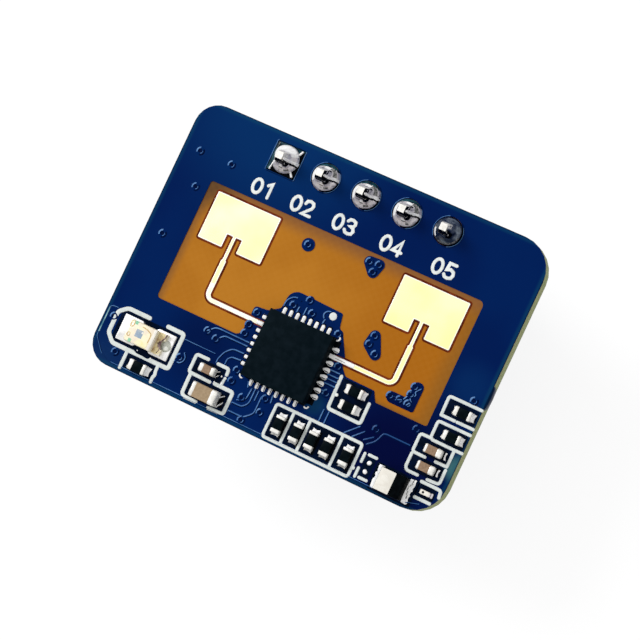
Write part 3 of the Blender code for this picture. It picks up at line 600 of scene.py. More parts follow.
def block(builder, low, high, bevel, finish_index=0, segments=2, edge_index=None):
    """A box with softened edges, which may have a finish of their own."""
    made = bmesh.ops.create_cube(builder, size=1.0)["verts"]
    bmesh.ops.scale(builder, vec=Vector(high) - Vector(low), verts=made)
    bmesh.ops.translate(builder, vec=(Vector(high) + Vector(low)) / 2, verts=made)
    for face in {face for vert in made for face in vert.link_faces}:
        face.material_index = finish_index
    edges = list({edge for vert in made for edge in vert.link_edges})
    bmesh.ops.bevel(builder, geom=edges, offset=bevel, segments=segments, profile=0.5, affect="EDGES",
                    material=finish_index if edge_index is None else edge_index)


def box_of(node):
    """The low and high corners of a CAD node's box, in millimetres."""
    return [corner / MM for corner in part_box(node)]


def centre_of(node):
    """The middle of a CAD node's box seen from above, in millimetres."""
    low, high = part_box(node)
    return ((low + high) / 2 / MM).xy


def top_loops(node):
    """The outlines round the flat top of a CAD node, in millimetres."""
    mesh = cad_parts[node].data
    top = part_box(node)[1].z
    edges = {}
    for polygon in mesh.polygons:
        corners = [mesh.vertices[k].co for k in polygon.vertices]
        if all(abs(corner.z - top) < 1e-7 for corner in corners):
            keys = [(round(corner.x / MM, 4), round(corner.y / MM, 4)) for corner in corners]
            for k, key in enumerate(keys):
                edges[(key, keys[(k + 1) % len(keys)])] = True
    border = {start: end for start, end in edges if (end, start) not in edges}
    loops = []
    while border:
        start, here = border.popitem()
        loop = [start]
        while here != start:
            loop.append(here)
            here = border.pop(here)
        loops.append([Vector(point) for point in loop])
    return loops


def window_box():
    """The low and high corners of the opening in the upper mask, in millimetres."""
    boxes = []
    for loop in top_loops("solder_mask_top"):
        xs, ys = zip(*loop)
        boxes.append((Vector((min(xs), min(ys))), Vector((max(xs), max(ys)))))
    # The board's own outline is the widest, and the window's is the next
    return sorted(boxes, key=lambda box: box[1].x - box[0].x)[-2]


# Tables

MASK_NODES = ("solder_mask_top", "solder_mask_bottom", "mask_island_single", "mask_island_trefoil",
              "mask_island_triple", "mask_island_hook")
# Tones of raised mask: painted light where it faces the key lamp, down a hole,
# painted shade where it faces away, plain, and over the edge of the pour
RELIEF_FINISHES = (
    "mask_over_raised_copper", "mask_sunk_in_holes", "mask_pooled_at_copper", "cured_solder_mask",
    "mask_over_pour_edge",
)
# Direction on the board towards the key lamp: raised mask facing it is painted lit, facing away shaded
KEY_LAMP_SIDE = Vector((-0.935, 0.354))

# Tin and solder on the feeds: path, width, height over the foil, own height, cross-section
FEED_WASHES = (
    (rounded([(-5.89, -1.4), (-5.89, -2.23), (-2.02, -2.23)], 0.45), 0.19, -0.001, 0.003, FILM),
    # The second is solder painted white as a highlight, the third a thin line of painted grey shade on it
    ([(1.96, -2.23), (2.3, -2.235), (2.8, -2.225), (3.42, -2.23)], 0.25, -0.001, 0.03, CROWN),
    ([(2.35, -2.25), (2.7, -2.24), (2.95, -2.25)], 0.06, 0.026, 0.006, RIDGE),
)

# The run of mask on the right wall: place along it, share of the fall, bulge; then its cross-section
RUN_STEPS = (
    (-0.02, 0.3, 0.0), (-0.07, 0.55, 0.03), (-0.16, 0.82, 0.06), (-0.4, 0.95, 0.08), (-0.7, 1.0, 0.09),
    (-1.0, 0.97, 0.08), (-1.25, 0.85, 0.06), (-1.37, 0.6, 0.03), (-1.43, 0.3, 0.0),
)
RUN_SECTION = ((-1.5, -0.004), (0.2, 0.0), (0.7, 0.03), (1.0, 0.15), (1.0, 0.55), (0.6, 0.9), (0.0, 1.0))

# Printed lines: width and path
INK_LINES = (
    (0.25, [(-8.38, -4.58), (-9.77, -4.58), (-10.27, -4.98), (-10.27, -6.25), (-9.8, -6.71), (-6.14, -6.7),
     (-6.14, -4.58), (-7.18, -4.58)]), (0.21, [(-8.77, -6.75), (-8.77, -7.78)]),
    (0.2, [(-6.75, -6.75), (-6.74, -7.15), (-6.68, -7.32), (-6.76, -7.5), (-6.74, -7.76)]),
    (0.2, [(-4.22, -5.26), (-4.97, -5.26), (-4.97, -6.33), (-3.6, -6.36)]),
    (0.2, [(-3.6, -5.26), (-2.9, -5.26), (-2.88, -5.6)]), (0.17, [(-2.9, -5.95), (-2.93, -6.25)]),
    (0.22, [(-4.82, -6.35), (-4.8, -7.55), (-4.62, -7.68), (-3.85, -7.68)]),
    (0.22, [(-3.3, -6.33), (-2.12, -6.33), (-2.12, -7.66), (-3.05, -7.68)]),
    (0.2, [(3.1, -3.0), (3.15, -4.88), (5.17, -4.9), (5.16, -3.72)]), (0.18, [(1.55, -5.9), (1.55, -7.72)]),
    (0.18, [(2.575, -5.9), (2.575, -7.72)]), (0.18, [(4.6, -5.9), (4.6, -7.72)]),
    (0.18, [(10.95, -1.49), (9.0, -1.49), (9.02, -2.53)]), (0.18, [(9.02, -2.6), (9.83, -2.6)]),
    (0.18, [(9.99, -2.6), (10.95, -2.6)]), (0.18, [(10.95, -2.95), (9.02, -2.95), (9.03, -3.83)]),
    (0.18, [(9.18, -4.02), (10.95, -4.02)]),
    (0.18, [(9.1, -3.96), (8.43, -3.97), (8.43, -5.02), (9.2, -5.03)]),
    (0.18, [(9.83, -5.01), (10.45, -5.0)]), (0.18, [(10.51, -4.1), (10.51, -5.0)]),
    (0.18, [(8.45, -5.12), (8.45, -5.9), (8.6, -6.07), (9.24, -6.06)]),
    (0.18, [(10.53, -5.2), (10.53, -6.03), (9.83, -6.06)]),
    (0.19, [(9.6, -6.28), (10.52, -6.28), (10.78, -6.31), (10.83, -6.68)]),
    (0.19, [(9.6, -7.18), (10.5, -7.18)]), (0.17, [(6.37, -6.2), (6.83, -6.2)]),
    (0.17, [(6.12, -6.22), (6.12, -6.7)]), (0.17, [(6.13, -7.08), (6.13, -7.58)]),
    (0.17, [(6.37, -7.53), (6.83, -7.53)]),
)
INK_FRAME = rectangle(0.45, -7.78, 5.78, -5.83)
INK_CORNER = 0.16
INK_DOTS = ((1.22, -0.22, 0.22), (-2.88, -5.82, 0.09), (5.85, -7.20, 0.11), (3.29, -4.02, 0.10))
INK_DOME = ((1.0, 0.0), (0.9, 0.6), (0.6, 1.1), (0.0, 1.3))

# Strokes of the pin numbers in a cell one unit high, and the middles of the numbers 01 to 05
NUMERAL_WIDTH = 0.64
NUMERAL_PITCH = 0.92
NUMERALS = {
    "0": [(0.32 + 0.32 * math.cos(math.tau * k / 16), 0.5 + 0.5 * math.sin(math.tau * k / 16))
          for k in range(16)],
    "1": [(0.12, 0.80), (0.38, 1.0), (0.38, 0.0)],
    "2": [(0.02, 0.74), (0.10, 0.94), (0.32, 1.0), (0.54, 0.93), (0.62, 0.74), (0.56, 0.54), (0.02, 0.0),
          (0.64, 0.0)],
    "3": [(0.02, 0.82), (0.14, 0.97), (0.34, 1.0), (0.55, 0.92), (0.60, 0.75), (0.52, 0.58), (0.28, 0.53),
          (0.54, 0.46), (0.64, 0.27), (0.56, 0.07), (0.33, 0.0), (0.12, 0.04), (0.0, 0.19)],
    "4": [(0.64, 0.26), (0.0, 0.26), (0.46, 1.0), (0.46, 0.0)],
    "5": [(0.60, 1.0), (0.12, 1.0), (0.07, 0.53), (0.32, 0.62), (0.56, 0.52), (0.63, 0.31), (0.55, 0.08),
          (0.31, 0.0), (0.10, 0.04), (0.0, 0.18)],
}
PIN_NUMBERS = ((-5.59, 4.64), (-3.09, 4.64), (-0.44, 4.64), (2.54, 4.64), (5.73, 4.64))

VIAS = (
    (-9.91, 5.13), (-7.87, 5.13), (-9.26, 3.19), (-9.86, 0.03), (-4.97, -3.84), (-4.34, -4.06),
    (-1.1, -0.56), (-0.35, 0.04), (0.08, -0.56), (1.93, -1.0), (-2.82, -1.78), (-2.96, -2.56),
    (-2.97, -3.1), (2.7, -2.6), (2.73, -4.19), (-2.45, -5.13), (-2.47, -5.79), (-1.53, -6.37),
    (-0.27, -5.88), (-0.23, -6.7), (-1.03, -7.5), (-5.8, -5.85), (10.35, -1.2), (8.15, -3.87), (6.13, -4.8),
    (-9.4, -7.1), (-10.37, -5.33), (-1.82, 2.81), (1.78, 3.34), (2.35, 3.37), (2.2, 2.88), (3.84, -0.24),
    (3.74, -0.77), (4.28, -1.16), (6.03, -2.82), (6.59, -2.82), (7.11, -2.84), (7.04, -2.3), (7.08, -1.84),
)
# The header covers the vias past this line on the underside
HEADER_SIDE = 5.0
VIA_RING = ((1.45, -0.02), (1.15, 0.6), (0.95, 1.0), (0.8, 0.95), (0.58, 0.1))
VIA_WELL = ((0.58, 0.1), (0.4, 0.04), (0.0, 0.02))
TRACES = (
    [(-4.97, -3.84), (-4.63, -3.53), (-4.4, -3.49), (-2.5, -3.49)],
    [(-4.13, -3.91), (-3.93, -3.72), (-2.5, -3.72)],
    [(-2.5, -4.16), (-3.18, -4.18), (-3.55, -4.53), (-3.72, -5.0), (-3.72, -5.2)],
    [(-2.5, -4.57), (-3.05, -4.62), (-3.22, -4.8), (-3.22, -5.1)],
    [(-1.0, -5.6), (-1.0, -6.5), (-1.3, -6.85), (-1.9, -6.85)],
    [(-0.5, -5.9), (-0.5, -6.9), (-1.0, -7.35), (-1.9, -7.35)], [(4.6, -5.7), (5.25, -5.05)],
    [(5.1, -5.7), (5.6, -5.2)], [(5.75, -5.6), (6.2, -5.25)],
    [(6.0, -5.75), (6.4, -5.4), (6.6, -4.87), (6.75, -4.82), (8.2, -4.82)], [(3.02, -5.05), (3.02, -5.7)],
    [(3.34, -5.05), (3.34, -5.7)], [(-0.75, -0.8), (-0.73, -0.55)], [(-0.33, -0.8), (-0.31, -0.42)],
    [(0.87, -0.8), (0.9, -0.6)],
    [(-1.58, -0.8), (-1.55, -0.45), (-1.3, -0.18), (-1.05, -0.12), (-0.8, -0.18)],
    [(-5.98, -6.14), (-5.72, -6.18), (-5.5, -6.0), (-5.45, -5.72), (-5.62, -5.52)],
    [(7.44, -1.84), (7.22, -2.08), (7.35, -2.22), (7.09, -2.53), (7.28, -2.64), (7.08, -2.93)],
    [(7.05, -2.16), (6.85, -2.31), (6.93, -2.47), (6.74, -2.79), (6.45, -2.89), (6.25, -2.78)],
    [(0.81, -0.49), (0.7, -0.32), (0.8, -0.12), (1.0, -0.06)],
    [(-1.71, -6.6), (-1.45, -6.55), (-1.25, -6.3), (-1.2, -5.74)], [(-0.78, -6.2), (-0.78, -5.7)],
    [(0.12, -5.95), (0.06, -5.55)], [(-2.2, -5.3), (-1.55, -5.35), (-1.45, -5.7)],
    [(2.4, -2.95), (2.95, -2.95)], [(2.4, -3.22), (3.0, -3.22)], [(2.4, -3.45), (3.0, -3.45)],
    [(2.4, -3.72), (3.02, -3.72)], [(2.4, -4.15), (2.6, -4.15)],
)
POUR_EDGES = (
    [(-10.35, -4.8), (-10.7, -4.82), (-10.82, -4.95)],
    [(-10.82, -6.45), (-10.8, -6.7), (-10.1, -7.5), (-9.5, -7.74), (9.0, -7.74), (10.0, -7.45)],
    [(-5.95, -4.82), (-4.0, -4.82)],
)
RIM_LINE = ((-10.82, -4.95), (-10.82, -6.45))
# Round ends of the mask that stand beside the chip in the window
MASK_LOBES = ((-2.82, -1.78, 0.29), (-2.96, -2.56, 0.26), (-2.97, -3.10, 0.27), (1.93, -1.00, 0.28))

# Dark films inside the printed frames, the dark ground round the lands with painted shade between the
# parts; flux spilt over the legend under the lamp, and grains of solder in it
FRAME_SHADE_ZONES = (
    (-10.02, -6.56, -6.28, -4.72), (-8.64, -7.72, -6.86, -6.84), (-4.84, -6.24, -3.02, -5.38),
    (-4.68, -7.58, -2.24, -6.46), (3.26, -4.78, 5.04, -3.02), (0.56, -7.67, 1.44, -5.94),
    (1.66, -7.67, 2.46, -5.94), (2.68, -7.67, 4.49, -5.94), (4.71, -7.67, 5.67, -5.94),
    (9.13, -2.5, 10.92, -1.6), (9.13, -3.92, 10.92, -3.06), (8.55, -4.92, 10.4, -4.12),
    (8.57, -5.96, 10.42, -5.12), (9.5, -7.08, 10.6, -6.38), (6.24, -7.42, 6.86, -6.32),
    (6.98, -7.86, 9.56, -6.3),
)
FLUX_SPILL = (
    (-8.52, -6.48), (-8.27, -6.67), (-7.82, -6.67), (-7.49, -6.71), (-7.36, -6.58), (-7.61, -6.32),
    (-8.27, -6.32),
)
SOLDER_GRAINS = (
    (-8.23, -6.5, 0.04), (-7.34, -6.59, 0.04), (-3.1, -5.8, 0.05), (-2.95, -6.15, 0.06),
    (-3.35, -6.25, 0.05), (-3.05, -6.4, 0.04),
)

# The radar chip: how far its pads reach past the body, their pitch and number on a side, and the pads
# that the feeds run to, by side and number
CHIP_PAD_REACH = 0.42
CHIP_PAD_PITCH = 0.40
CHIP_PADS = 8
CHIP_FEEDS = ((0, 6), (2, 1))
# Each side's beads, from the right wall round: start and end from the wall, width, height
CHIP_BEADS = (
    (-0.04, 0.43, 0.27, 0.018), (-0.04, 0.38, 0.205, 0.03), (0.17, 0.41, 0.205, 0.03),
    (-0.04, 0.37, 0.205, 0.018),
)
# End and width of the bead on a feed's pad, by side
FEED_BEADS = {0: (0.50, 0.25), 2: (0.62, 0.19)}
# The painted shade line that splits the beads of a side: first row and column of its faces
BEAD_SPLITS = {0: (3, 2), 3: (1, 5)}
BEAD_STEPS = (-1.0, -0.94, -0.78, -0.4, 0.0, 0.4, 0.78, 0.94, 1.0)

# Chip parts: length, width, height over the solder, then near and far end bands and solder toes
SMALL_RESISTOR = (1.00, 0.54, 0.35, (0.24, 0.20), (0.17, 0.25))
LAMP_RESISTOR = (1.06, 0.60, 0.35, (0.28, 0.22), (0.20, 0.30))
SMALL_CAPACITOR = (1.04, 0.50, 0.50, (0.20, 0.36), (0.13, 0.26))
BYPASS_CAPACITOR = (1.00, 0.50, 0.50, (0.32, 0.30), (0.12, 0.26))
LARGE_CAPACITOR = (1.60, 0.86, 0.80, (0.30, 0.42), (0.24, 0.36))
CHIP_RESISTORS = (*(f"row_resistor_{k}" for k in range(1, 6)), "pair_resistor_1", "pair_resistor_2",
                  "edge_resistor_1", "edge_resistor_2", "lamp_resistor")
CHIP_CAPACITORS = (
    ("edge_capacitor_1", SMALL_CAPACITOR, "fired_ceramic_brown"),
    ("edge_capacitor_2", SMALL_CAPACITOR, "fired_ceramic_brown"),
    ("bypass_capacitor", BYPASS_CAPACITOR, "fired_ceramic_brown"),
    ("bulk_capacitor", LARGE_CAPACITOR, "fired_ceramic_tan"),
)

# Lamp detail, from the middle of the lamp. Films: outline, corner, lift, height, finish
LAMP_FILM = 0.006
LAMP_PADS = (
    (0.74, -0.6), (1.12, -0.6), (1.2, -0.36), (0.98, -0.2), (0.98, 0.14), (1.14, 0.34), (1.1, 0.6),
    (0.74, 0.6),
)
LAMP_WIRES = (
    (0.08, [(1.2, 0.6), (1.17, 0.42), (1.09, 0.28), (0.99, 0.07), (0.98, -0.05), (1.08, -0.17),
     (1.18, -0.24)]), (0.05, [(0.99, 0.05), (0.84, -0.02)]),
    (0.05, [(1.08, -0.17), (1.1, -0.34), (1.04, -0.52)]), (0.19, [(1.0, 0.08), (1.01, -0.1)]),
)
LAMP_FILMS = (
    (rectangle(-0.68, 0.44, -0.49, 0.64), 0.0, -LAMP_FILM, LAMP_FILM, 2),
    (rectangle(-0.67, -0.61, -0.48, -0.41), 0.0, -LAMP_FILM, LAMP_FILM, 2),
    (rectangle(-0.42, -0.2, 0.02, 0.25), 0.0, -LAMP_FILM, LAMP_FILM, 1),
    (rectangle(-0.09, 0.08, 0.03, 0.2), 0.04, 0.0, LAMP_FILM / 2, 4),
    ([(-0.1, -0.28), (0.5, -0.2), (0.48, -0.56), (-0.3, -0.56)], 0.1, -LAMP_FILM, LAMP_FILM * 0.9, 5),
)
LAMP_SEAMS = (
    (False, 0.06, [(-0.16, 0.46), (0.16, 0.42), (0.47, 0.28), (0.48, 0.02), (0.47, -0.24)]),
    (True, 0.05, [(-0.86, 0.22), (-0.88, 0.52), (-0.72, 0.6), (-0.68, 0.3)]),
    (True, 0.05, [(-0.86, -0.3), (-0.86, -0.12), (-0.7, -0.1), (-0.7, -0.34)]),
)

# Half width of a pin's cut end, and the level on its shank where the painted shade begins, from its top
PIN_TIP = 0.2
PIN_SHADE_DEPTH = 0.5
# Highest the solder climbs over the mask, just under the pin's end
PIN_TOP_RISE = 1.42
# Where the solder meets the pin, from the pin's middle
JOINT_NECK = 0.325
JOINT_SIDES = 96
# Share of the way from pad edge to pin, and height over the mask as a share of the joint's
JOINT_PROFILE = (
    (0.0, -0.04), (0.05, 0.08), (0.11, 0.17), (0.17, 0.24), (0.26, 0.3), (0.36, 0.35), (0.46, 0.4),
    (0.56, 0.45), (0.66, 0.52), (0.76, 0.6), (0.86, 0.71), (0.94, 0.84), (1.0, 1.0), (1.08, 1.12),
    (1.14, 1.26),
)
# Horns of solder drawn out to the corners of the square pad: width, finish, path from the pad's middle
# Finish 1 is the painted highlight and finish 4 the painted grey shade
PAD_HORNS = (
    (0.12, 1, [(0.5, 0.38), (0.6, 0.58), (0.7, 0.78)]),
    (0.13, 1, [(0.42, -0.42), (0.58, -0.58), (0.68, -0.72)]),
    (0.085, 1, [(-0.7, -0.78), (-0.64, -0.45), (-0.6, -0.12), (-0.56, 0.1)]),
    (0.05, 4, [(-0.74, 0.78), (-0.74, 0.4), (-0.72, 0.1)]),
)

# Lamps of the studio: name, place in metres, width in metres, the user's setting for its power
STUDIO_LAMPS = (("key_lamp", (-0.417, 0.158, 0.40), 0.25, "key_power"),
                ("fill_lamp", (0.42, -0.16, 0.30), 0.40, "fill_power"))
# The camera, fitted to the pins, the chip's pads and the board's edges: place in metres and axes
CAMERA_LENS = 123.08
CAMERA_PLACE = (0.034542, -0.004026, 0.115970)
CAMERA_AXES = (
    (0.871301, 0.425305, -0.244848), (-0.400944, 0.904623, 0.14457), (0.282981, -0.027793, 0.958723),
)


class SENSORBOARD_OT_blank(bpy.types.Operator):
    """Finish the laminate blank, the mask films and the antenna foils"""

    bl_idname = "sensor_board.blank"
    bl_label = "Blank, mask and foils"
    bl_options = {"REGISTER", "UNDO"}

    def execute(self, context):
        set_finish("board_laminate", "glass_epoxy_laminate")
        for node in MASK_NODES:
            set_finish(node, "cured_solder_mask")
        foil_top = box_of("antenna_left")[1].z
        rims = bmesh.new()
        shadow_strips = bmesh.new()
        for node in ("antenna_left", "antenna_right"):
            set_finish(node, "immersion_gold")
            for loop in top_loops(node):
                # A thin white line is painted along each foil's edge as a highlight
                sweep(rims, grown(loop, -0.024), 0.055, foil_top - 0.001, 0.004, True, RIDGE)
                # A dark brown line is painted round each foil as the shadow of its thickness
                sweep(shadow_strips, grown(loop, 0.05), 0.15, LAMINATE_TOP, 0.006, True, RIDGE)
        washes = bmesh.new()
        for index, (path, width, lift, height, section) in enumerate(FEED_WASHES):
            sweep(washes, path, width, foil_top + lift, height, False, section, index)
        new_piece("foil_edges", rims, ["bright_gold_edge"])
        new_piece("feed_washes", washes, ["tin_washed_gold", "bright_solder_crest", "dull_solder_flank"])
        new_piece("etch_stains", shadow_strips, ["etch_stained_resin"])
        return {"FINISHED"}


class SENSORBOARD_OT_edge_run(bpy.types.Operator):
    """Add the run of mask on the right wall of the blank"""

    bl_idname = "sensor_board.edge_run"
    bl_label = "Mask run on the edge"
    bl_options = {"REGISTER", "UNDO"}

    def execute(self, context):
        builder = bmesh.new()
        skin(builder, [[builder.verts.new((BOARD_HIGH.x + out * bulge, y, MASK_TOP + 0.001 - drop * fall))
                        for out, drop in RUN_SECTION] for y, fall, bulge in RUN_STEPS])
        face_out(builder, 0)
        new_piece("mask_run_on_edge", builder, ["cured_solder_mask"], sharp=60)
        return {"FINISHED"}


def painted_by_key_lamp(faces, limit):
    """Paint raised mask lit where it faces the key lamp, in painted shade where it faces away, else plain."""
    for face in faces:
        face.normal_update()
        facing = face.normal.xy.normalized().dot(KEY_LAMP_SIDE) if face.normal.z < 0.995 else 0.0
        face.material_index = 0 if facing > limit else 2 if facing < -0.3 else 3


class SENSORBOARD_OT_relief(bpy.types.Operator):
    """Raise the vias, traces and pour edges under the mask, on both faces"""

    bl_idname = "sensor_board.relief"
    bl_label = "Vias and traces"
    bl_options = {"REGISTER", "UNDO"}

    def execute(self, context):
        work = context.scene.solder_work
        radius, rise, edge = work.via_radius / MM, work.via_rise / MM, work.trace_rise / MM
        for name, sign, level in (("mask_relief_top", 1, MASK_TOP), ("mask_relief_under", -1, -UNDERSIDE)):
            builder = bmesh.new()
            for paths, width in ((TRACES, 0.13), (POUR_EDGES, 0.07)):
                for path in paths:
                    path = rounded([(x, sign * y) for x, y in path], 0.2)
                    sweep(builder, path, width, level, edge, False, RIDGE)
            # Traces and pour edges, and below them the via rings, are painted lit or shaded by how they face
            # the key lamp
            painted_by_key_lamp(builder.faces, 0.3)
            vias = [(x, sign * y) for x, y in VIAS if sign > 0 or y < HEADER_SIDE]
            for place in vias:
                painted_by_key_lamp(turned(builder, place, level, VIA_RING, 24, 0, radius, rise), 0.55)
            for place in vias:
                turned(builder, place, level, VIA_WELL, 24, 1, radius, rise)
            sweep(builder, [(x, sign * y) for x, y in RIM_LINE], 0.07, level, edge, False, RIDGE, 4)
            if sign < 0:
                bmesh.ops.transform(builder, matrix=Matrix.Rotation(math.pi, 4, "X"), verts=builder.verts)
            new_piece(name, builder, RELIEF_FINISHES)
        lobes = bmesh.new()
        thick = MASK_TOP - LAMINATE_TOP
        for k, (x, y, radius) in enumerate(MASK_LOBES):
            # Each lobe lies a hair lower than the one before it
            crest = thick - 0.0006 * (k + 1)
            wall = ((radius, 0.0), (radius - 0.012, thick * 0.7), (radius - 0.04, crest), (0.0, crest))
            turned(lobes, (x, y), LAMINATE_TOP, wall, 36)
        new_piece("mask_lobes", lobes, ["cured_solder_mask"])
        return {"FINISHED"}


class SENSORBOARD_OT_legend(bpy.types.Operator):
    """Print the white frames and dots round the parts"""

    bl_idname = "sensor_board.legend"
    bl_label = "Printed frames"
    bl_options = {"REGISTER", "UNDO"}

    def execute(self, context):
        film = context.scene.legend_print.film / MM
        builder = bmesh.new()
        for width, path in INK_LINES:
            sweep(builder, rounded(path, INK_CORNER), width, MASK_TOP, film)
        sweep(builder, rounded(INK_FRAME, INK_CORNER, True), 0.18, MASK_TOP, film, True)
        for x, y, radius in INK_DOTS:
            turned(builder, (x, y), MASK_TOP, INK_DOME, 20, 1, radius, film)
        new_piece("legend_frames", builder, ["screen_printed_ink", "screen_printed_ink_heavy"])
        return {"FINISHED"}


class SENSORBOARD_OT_numbers(bpy.types.Operator):
    """Print the plain pin numbers beside the header"""

    bl_idname = "sensor_board.numbers"
    bl_label = "Pin numbers"
    bl_options = {"REGISTER", "UNDO"}

    def execute(self, context):
        look = context.scene.legend_print
        stroke = look.numeral_stroke / MM
        tall = look.numeral_height / MM - stroke
        builder = bmesh.new()
        for index, (x, y) in enumerate(PIN_NUMBERS, 1):
            start = x - (NUMERAL_PITCH + NUMERAL_WIDTH) * tall / 2
            for place, digit in enumerate(f"{index:02d}"):
                left = start + place * NUMERAL_PITCH * tall
                path = [(left + u * tall, y + (v - 0.5) * tall) for u, v in NUMERALS[digit]]
                # Only the nought is a closed line
                sweep(builder, path, stroke, MASK_TOP, look.film / MM, digit == "0")
        new_piece("legend_numbers", builder, ["screen_printed_ink_heavy"])
        return {"FINISHED"}


class SENSORBOARD_OT_films_and_shade(bpy.types.Operator):
    """Lay the dark films and the painted shade round the soldered parts"""

    bl_idname = "sensor_board.flux"
    bl_label = "Flux films"
    bl_options = {"REGISTER", "UNDO"}

    def execute(self, context):
        builder = bmesh.new()
        for zone in FRAME_SHADE_ZONES:
            plate(builder, rectangle(*zone), MASK_TOP - 0.002, 0.006, 0, 0.003, 0.12)
        # A strip of painted shadow lies beside each resistor of the row
        for index in range(1, 6):
            x, y = centre_of(f"row_resistor_{index}")
            strip = rectangle(x + 0.2, y - 0.72, x + 0.385, y + 0.62)
            plate(builder, strip, MASK_TOP + 0.002, 0.005, 1, 0.002, 0.06)
        plate(builder, FLUX_SPILL, MASK_TOP, 0.035, 0, 0.01, 0.1)
        new_piece("flux_films", builder, ["baked_flux", "burnt_flux"])
        grains = bmesh.new()
        for x, y, radius in SOLDER_GRAINS:
            # The grains are painted white as highlights
            turned(grains, (x, y), MASK_TOP, ((radius, 0.0), (radius * 0.9, 0.04), (0.0, 0.055)), 10)
        new_piece("solder_grains", grains, ["bright_solder_crest"])
        return {"FINISHED"}


class SENSORBOARD_OT_chip(bpy.types.Operator):
    """Build the radar chip with its plated pads and their solder"""

    bl_idname = "sensor_board.chip"
    bl_label = "Radar chip"
    bl_options = {"REGISTER", "UNDO"}

    def execute(self, context):
        low, high = box_of("radar_chip")
        low.xy += Vector((CHIP_PAD_REACH, CHIP_PAD_REACH))
        high.xy -= Vector((CHIP_PAD_REACH, CHIP_PAD_REACH))
        centre = (low + high).xy / 2
        half = (high.x - low.x) / 2
        body = bmesh.new()
        # The left wall stands in a little, so that the pads there show whole
        low.x += 0.07
        block(body, low, high, 0.03)
        # A moulding flash line runs round the body near its foot
        flash = 0.012
        block(body, (low.x - flash, low.y - flash, low.z + 0.16),
              (high.x + flash, high.y + flash, low.z + 0.2), flash, 0, 1)
        new_piece("chip_body", body, ["moulded_epoxy"], ["radar_chip"])

        draw = random.Random(11)
        solder = bmesh.new()
        shade = bmesh.new()
        for side in range(4):
            turn = Matrix.Rotation(side * math.pi / 2, 2)
            shades = []
            for k in range(CHIP_PADS):
                along = (k - (CHIP_PADS - 1) / 2) * CHIP_PAD_PITCH
                feed = (side, k) in CHIP_FEEDS
                self.bead(solder, centre, turn, half, along, side, feed, draw)
                if side in (1, 2) and not feed:
                    shades.append((along - 0.15, half + CHIP_PAD_REACH + 0.03, along + 0.15, 0.12))
            if side in (0, 3):
                shades.append((0.1 - half, half + (0.33 if side == 0 else 0.10), half - 0.1, 0.0))
            # Dark plates of painted shade round the pads, and along the right and lower sides
            for start, reach, end, corner in shades:
                outline = [centre + turn @ Vector(p) for p in rectangle(half - 0.1, start, reach, end)]
                plate(shade, outline, MASK_TOP - 0.002, 0.005, 0, 0.002, corner)
        for x, y, angle in ((1, 1, -30), (1, -1, -70), (-1, -1, -140)):
            corner = centre + Vector((x, y)) * (half + 0.03)
            arc = [corner + 0.13 * heading(math.radians(angle + step)) for step in range(-60, 66, 25)]
            sweep(solder, arc, 0.10, MASK_TOP, 0.06)
        new_piece("chip_solder", solder, ["bright_solder_crest", "burnt_flux"], sharp=60)
        new_piece("chip_flux", shade, ["burnt_flux"])
        return {"FINISHED"}

    def bead(self, builder, centre, turn, half, along, side, feed, draw):
        """A flat bead painted white: pointed on the right, split by painted shade right and below, else
        plain.
        """
        begin, reach, width, lift = CHIP_BEADS[side]
        if feed:
            reach, width = FEED_BEADS[side]
        reach += 0.03 * (draw.random() - 0.5)
        width += 0.015 * draw.random()
        lift += 0.008 * draw.random()

        def place(t, u):
            # Both ends are round, and on the right side the inner end is drawn to a point
            end = math.sqrt(max(0.0, 1 - (max(0.0, abs(2 * t - 1) - 0.6) / 0.4) ** 2))
            point = min(1.0, 0.25 + 1.5 * t) if side == 0 else 1.0
            wide = width / 2 * max(0.5, end) * point
            spot = centre + turn @ Vector((half + begin + (reach - begin) * t, along + u * wide))
            return spot.x, spot.y, MASK_TOP + 0.004 + (1 - abs(u) ** 8) * lift * (0.3 + 0.7 * end)

        faces = sheet(builder, 10, BEAD_STEPS, place)
        if side in BEAD_SPLITS and not feed:
            start, column = BEAD_SPLITS[side]
            for row in range(start, 9):
                faces[row * (len(BEAD_STEPS) - 1) + column].material_index = 1


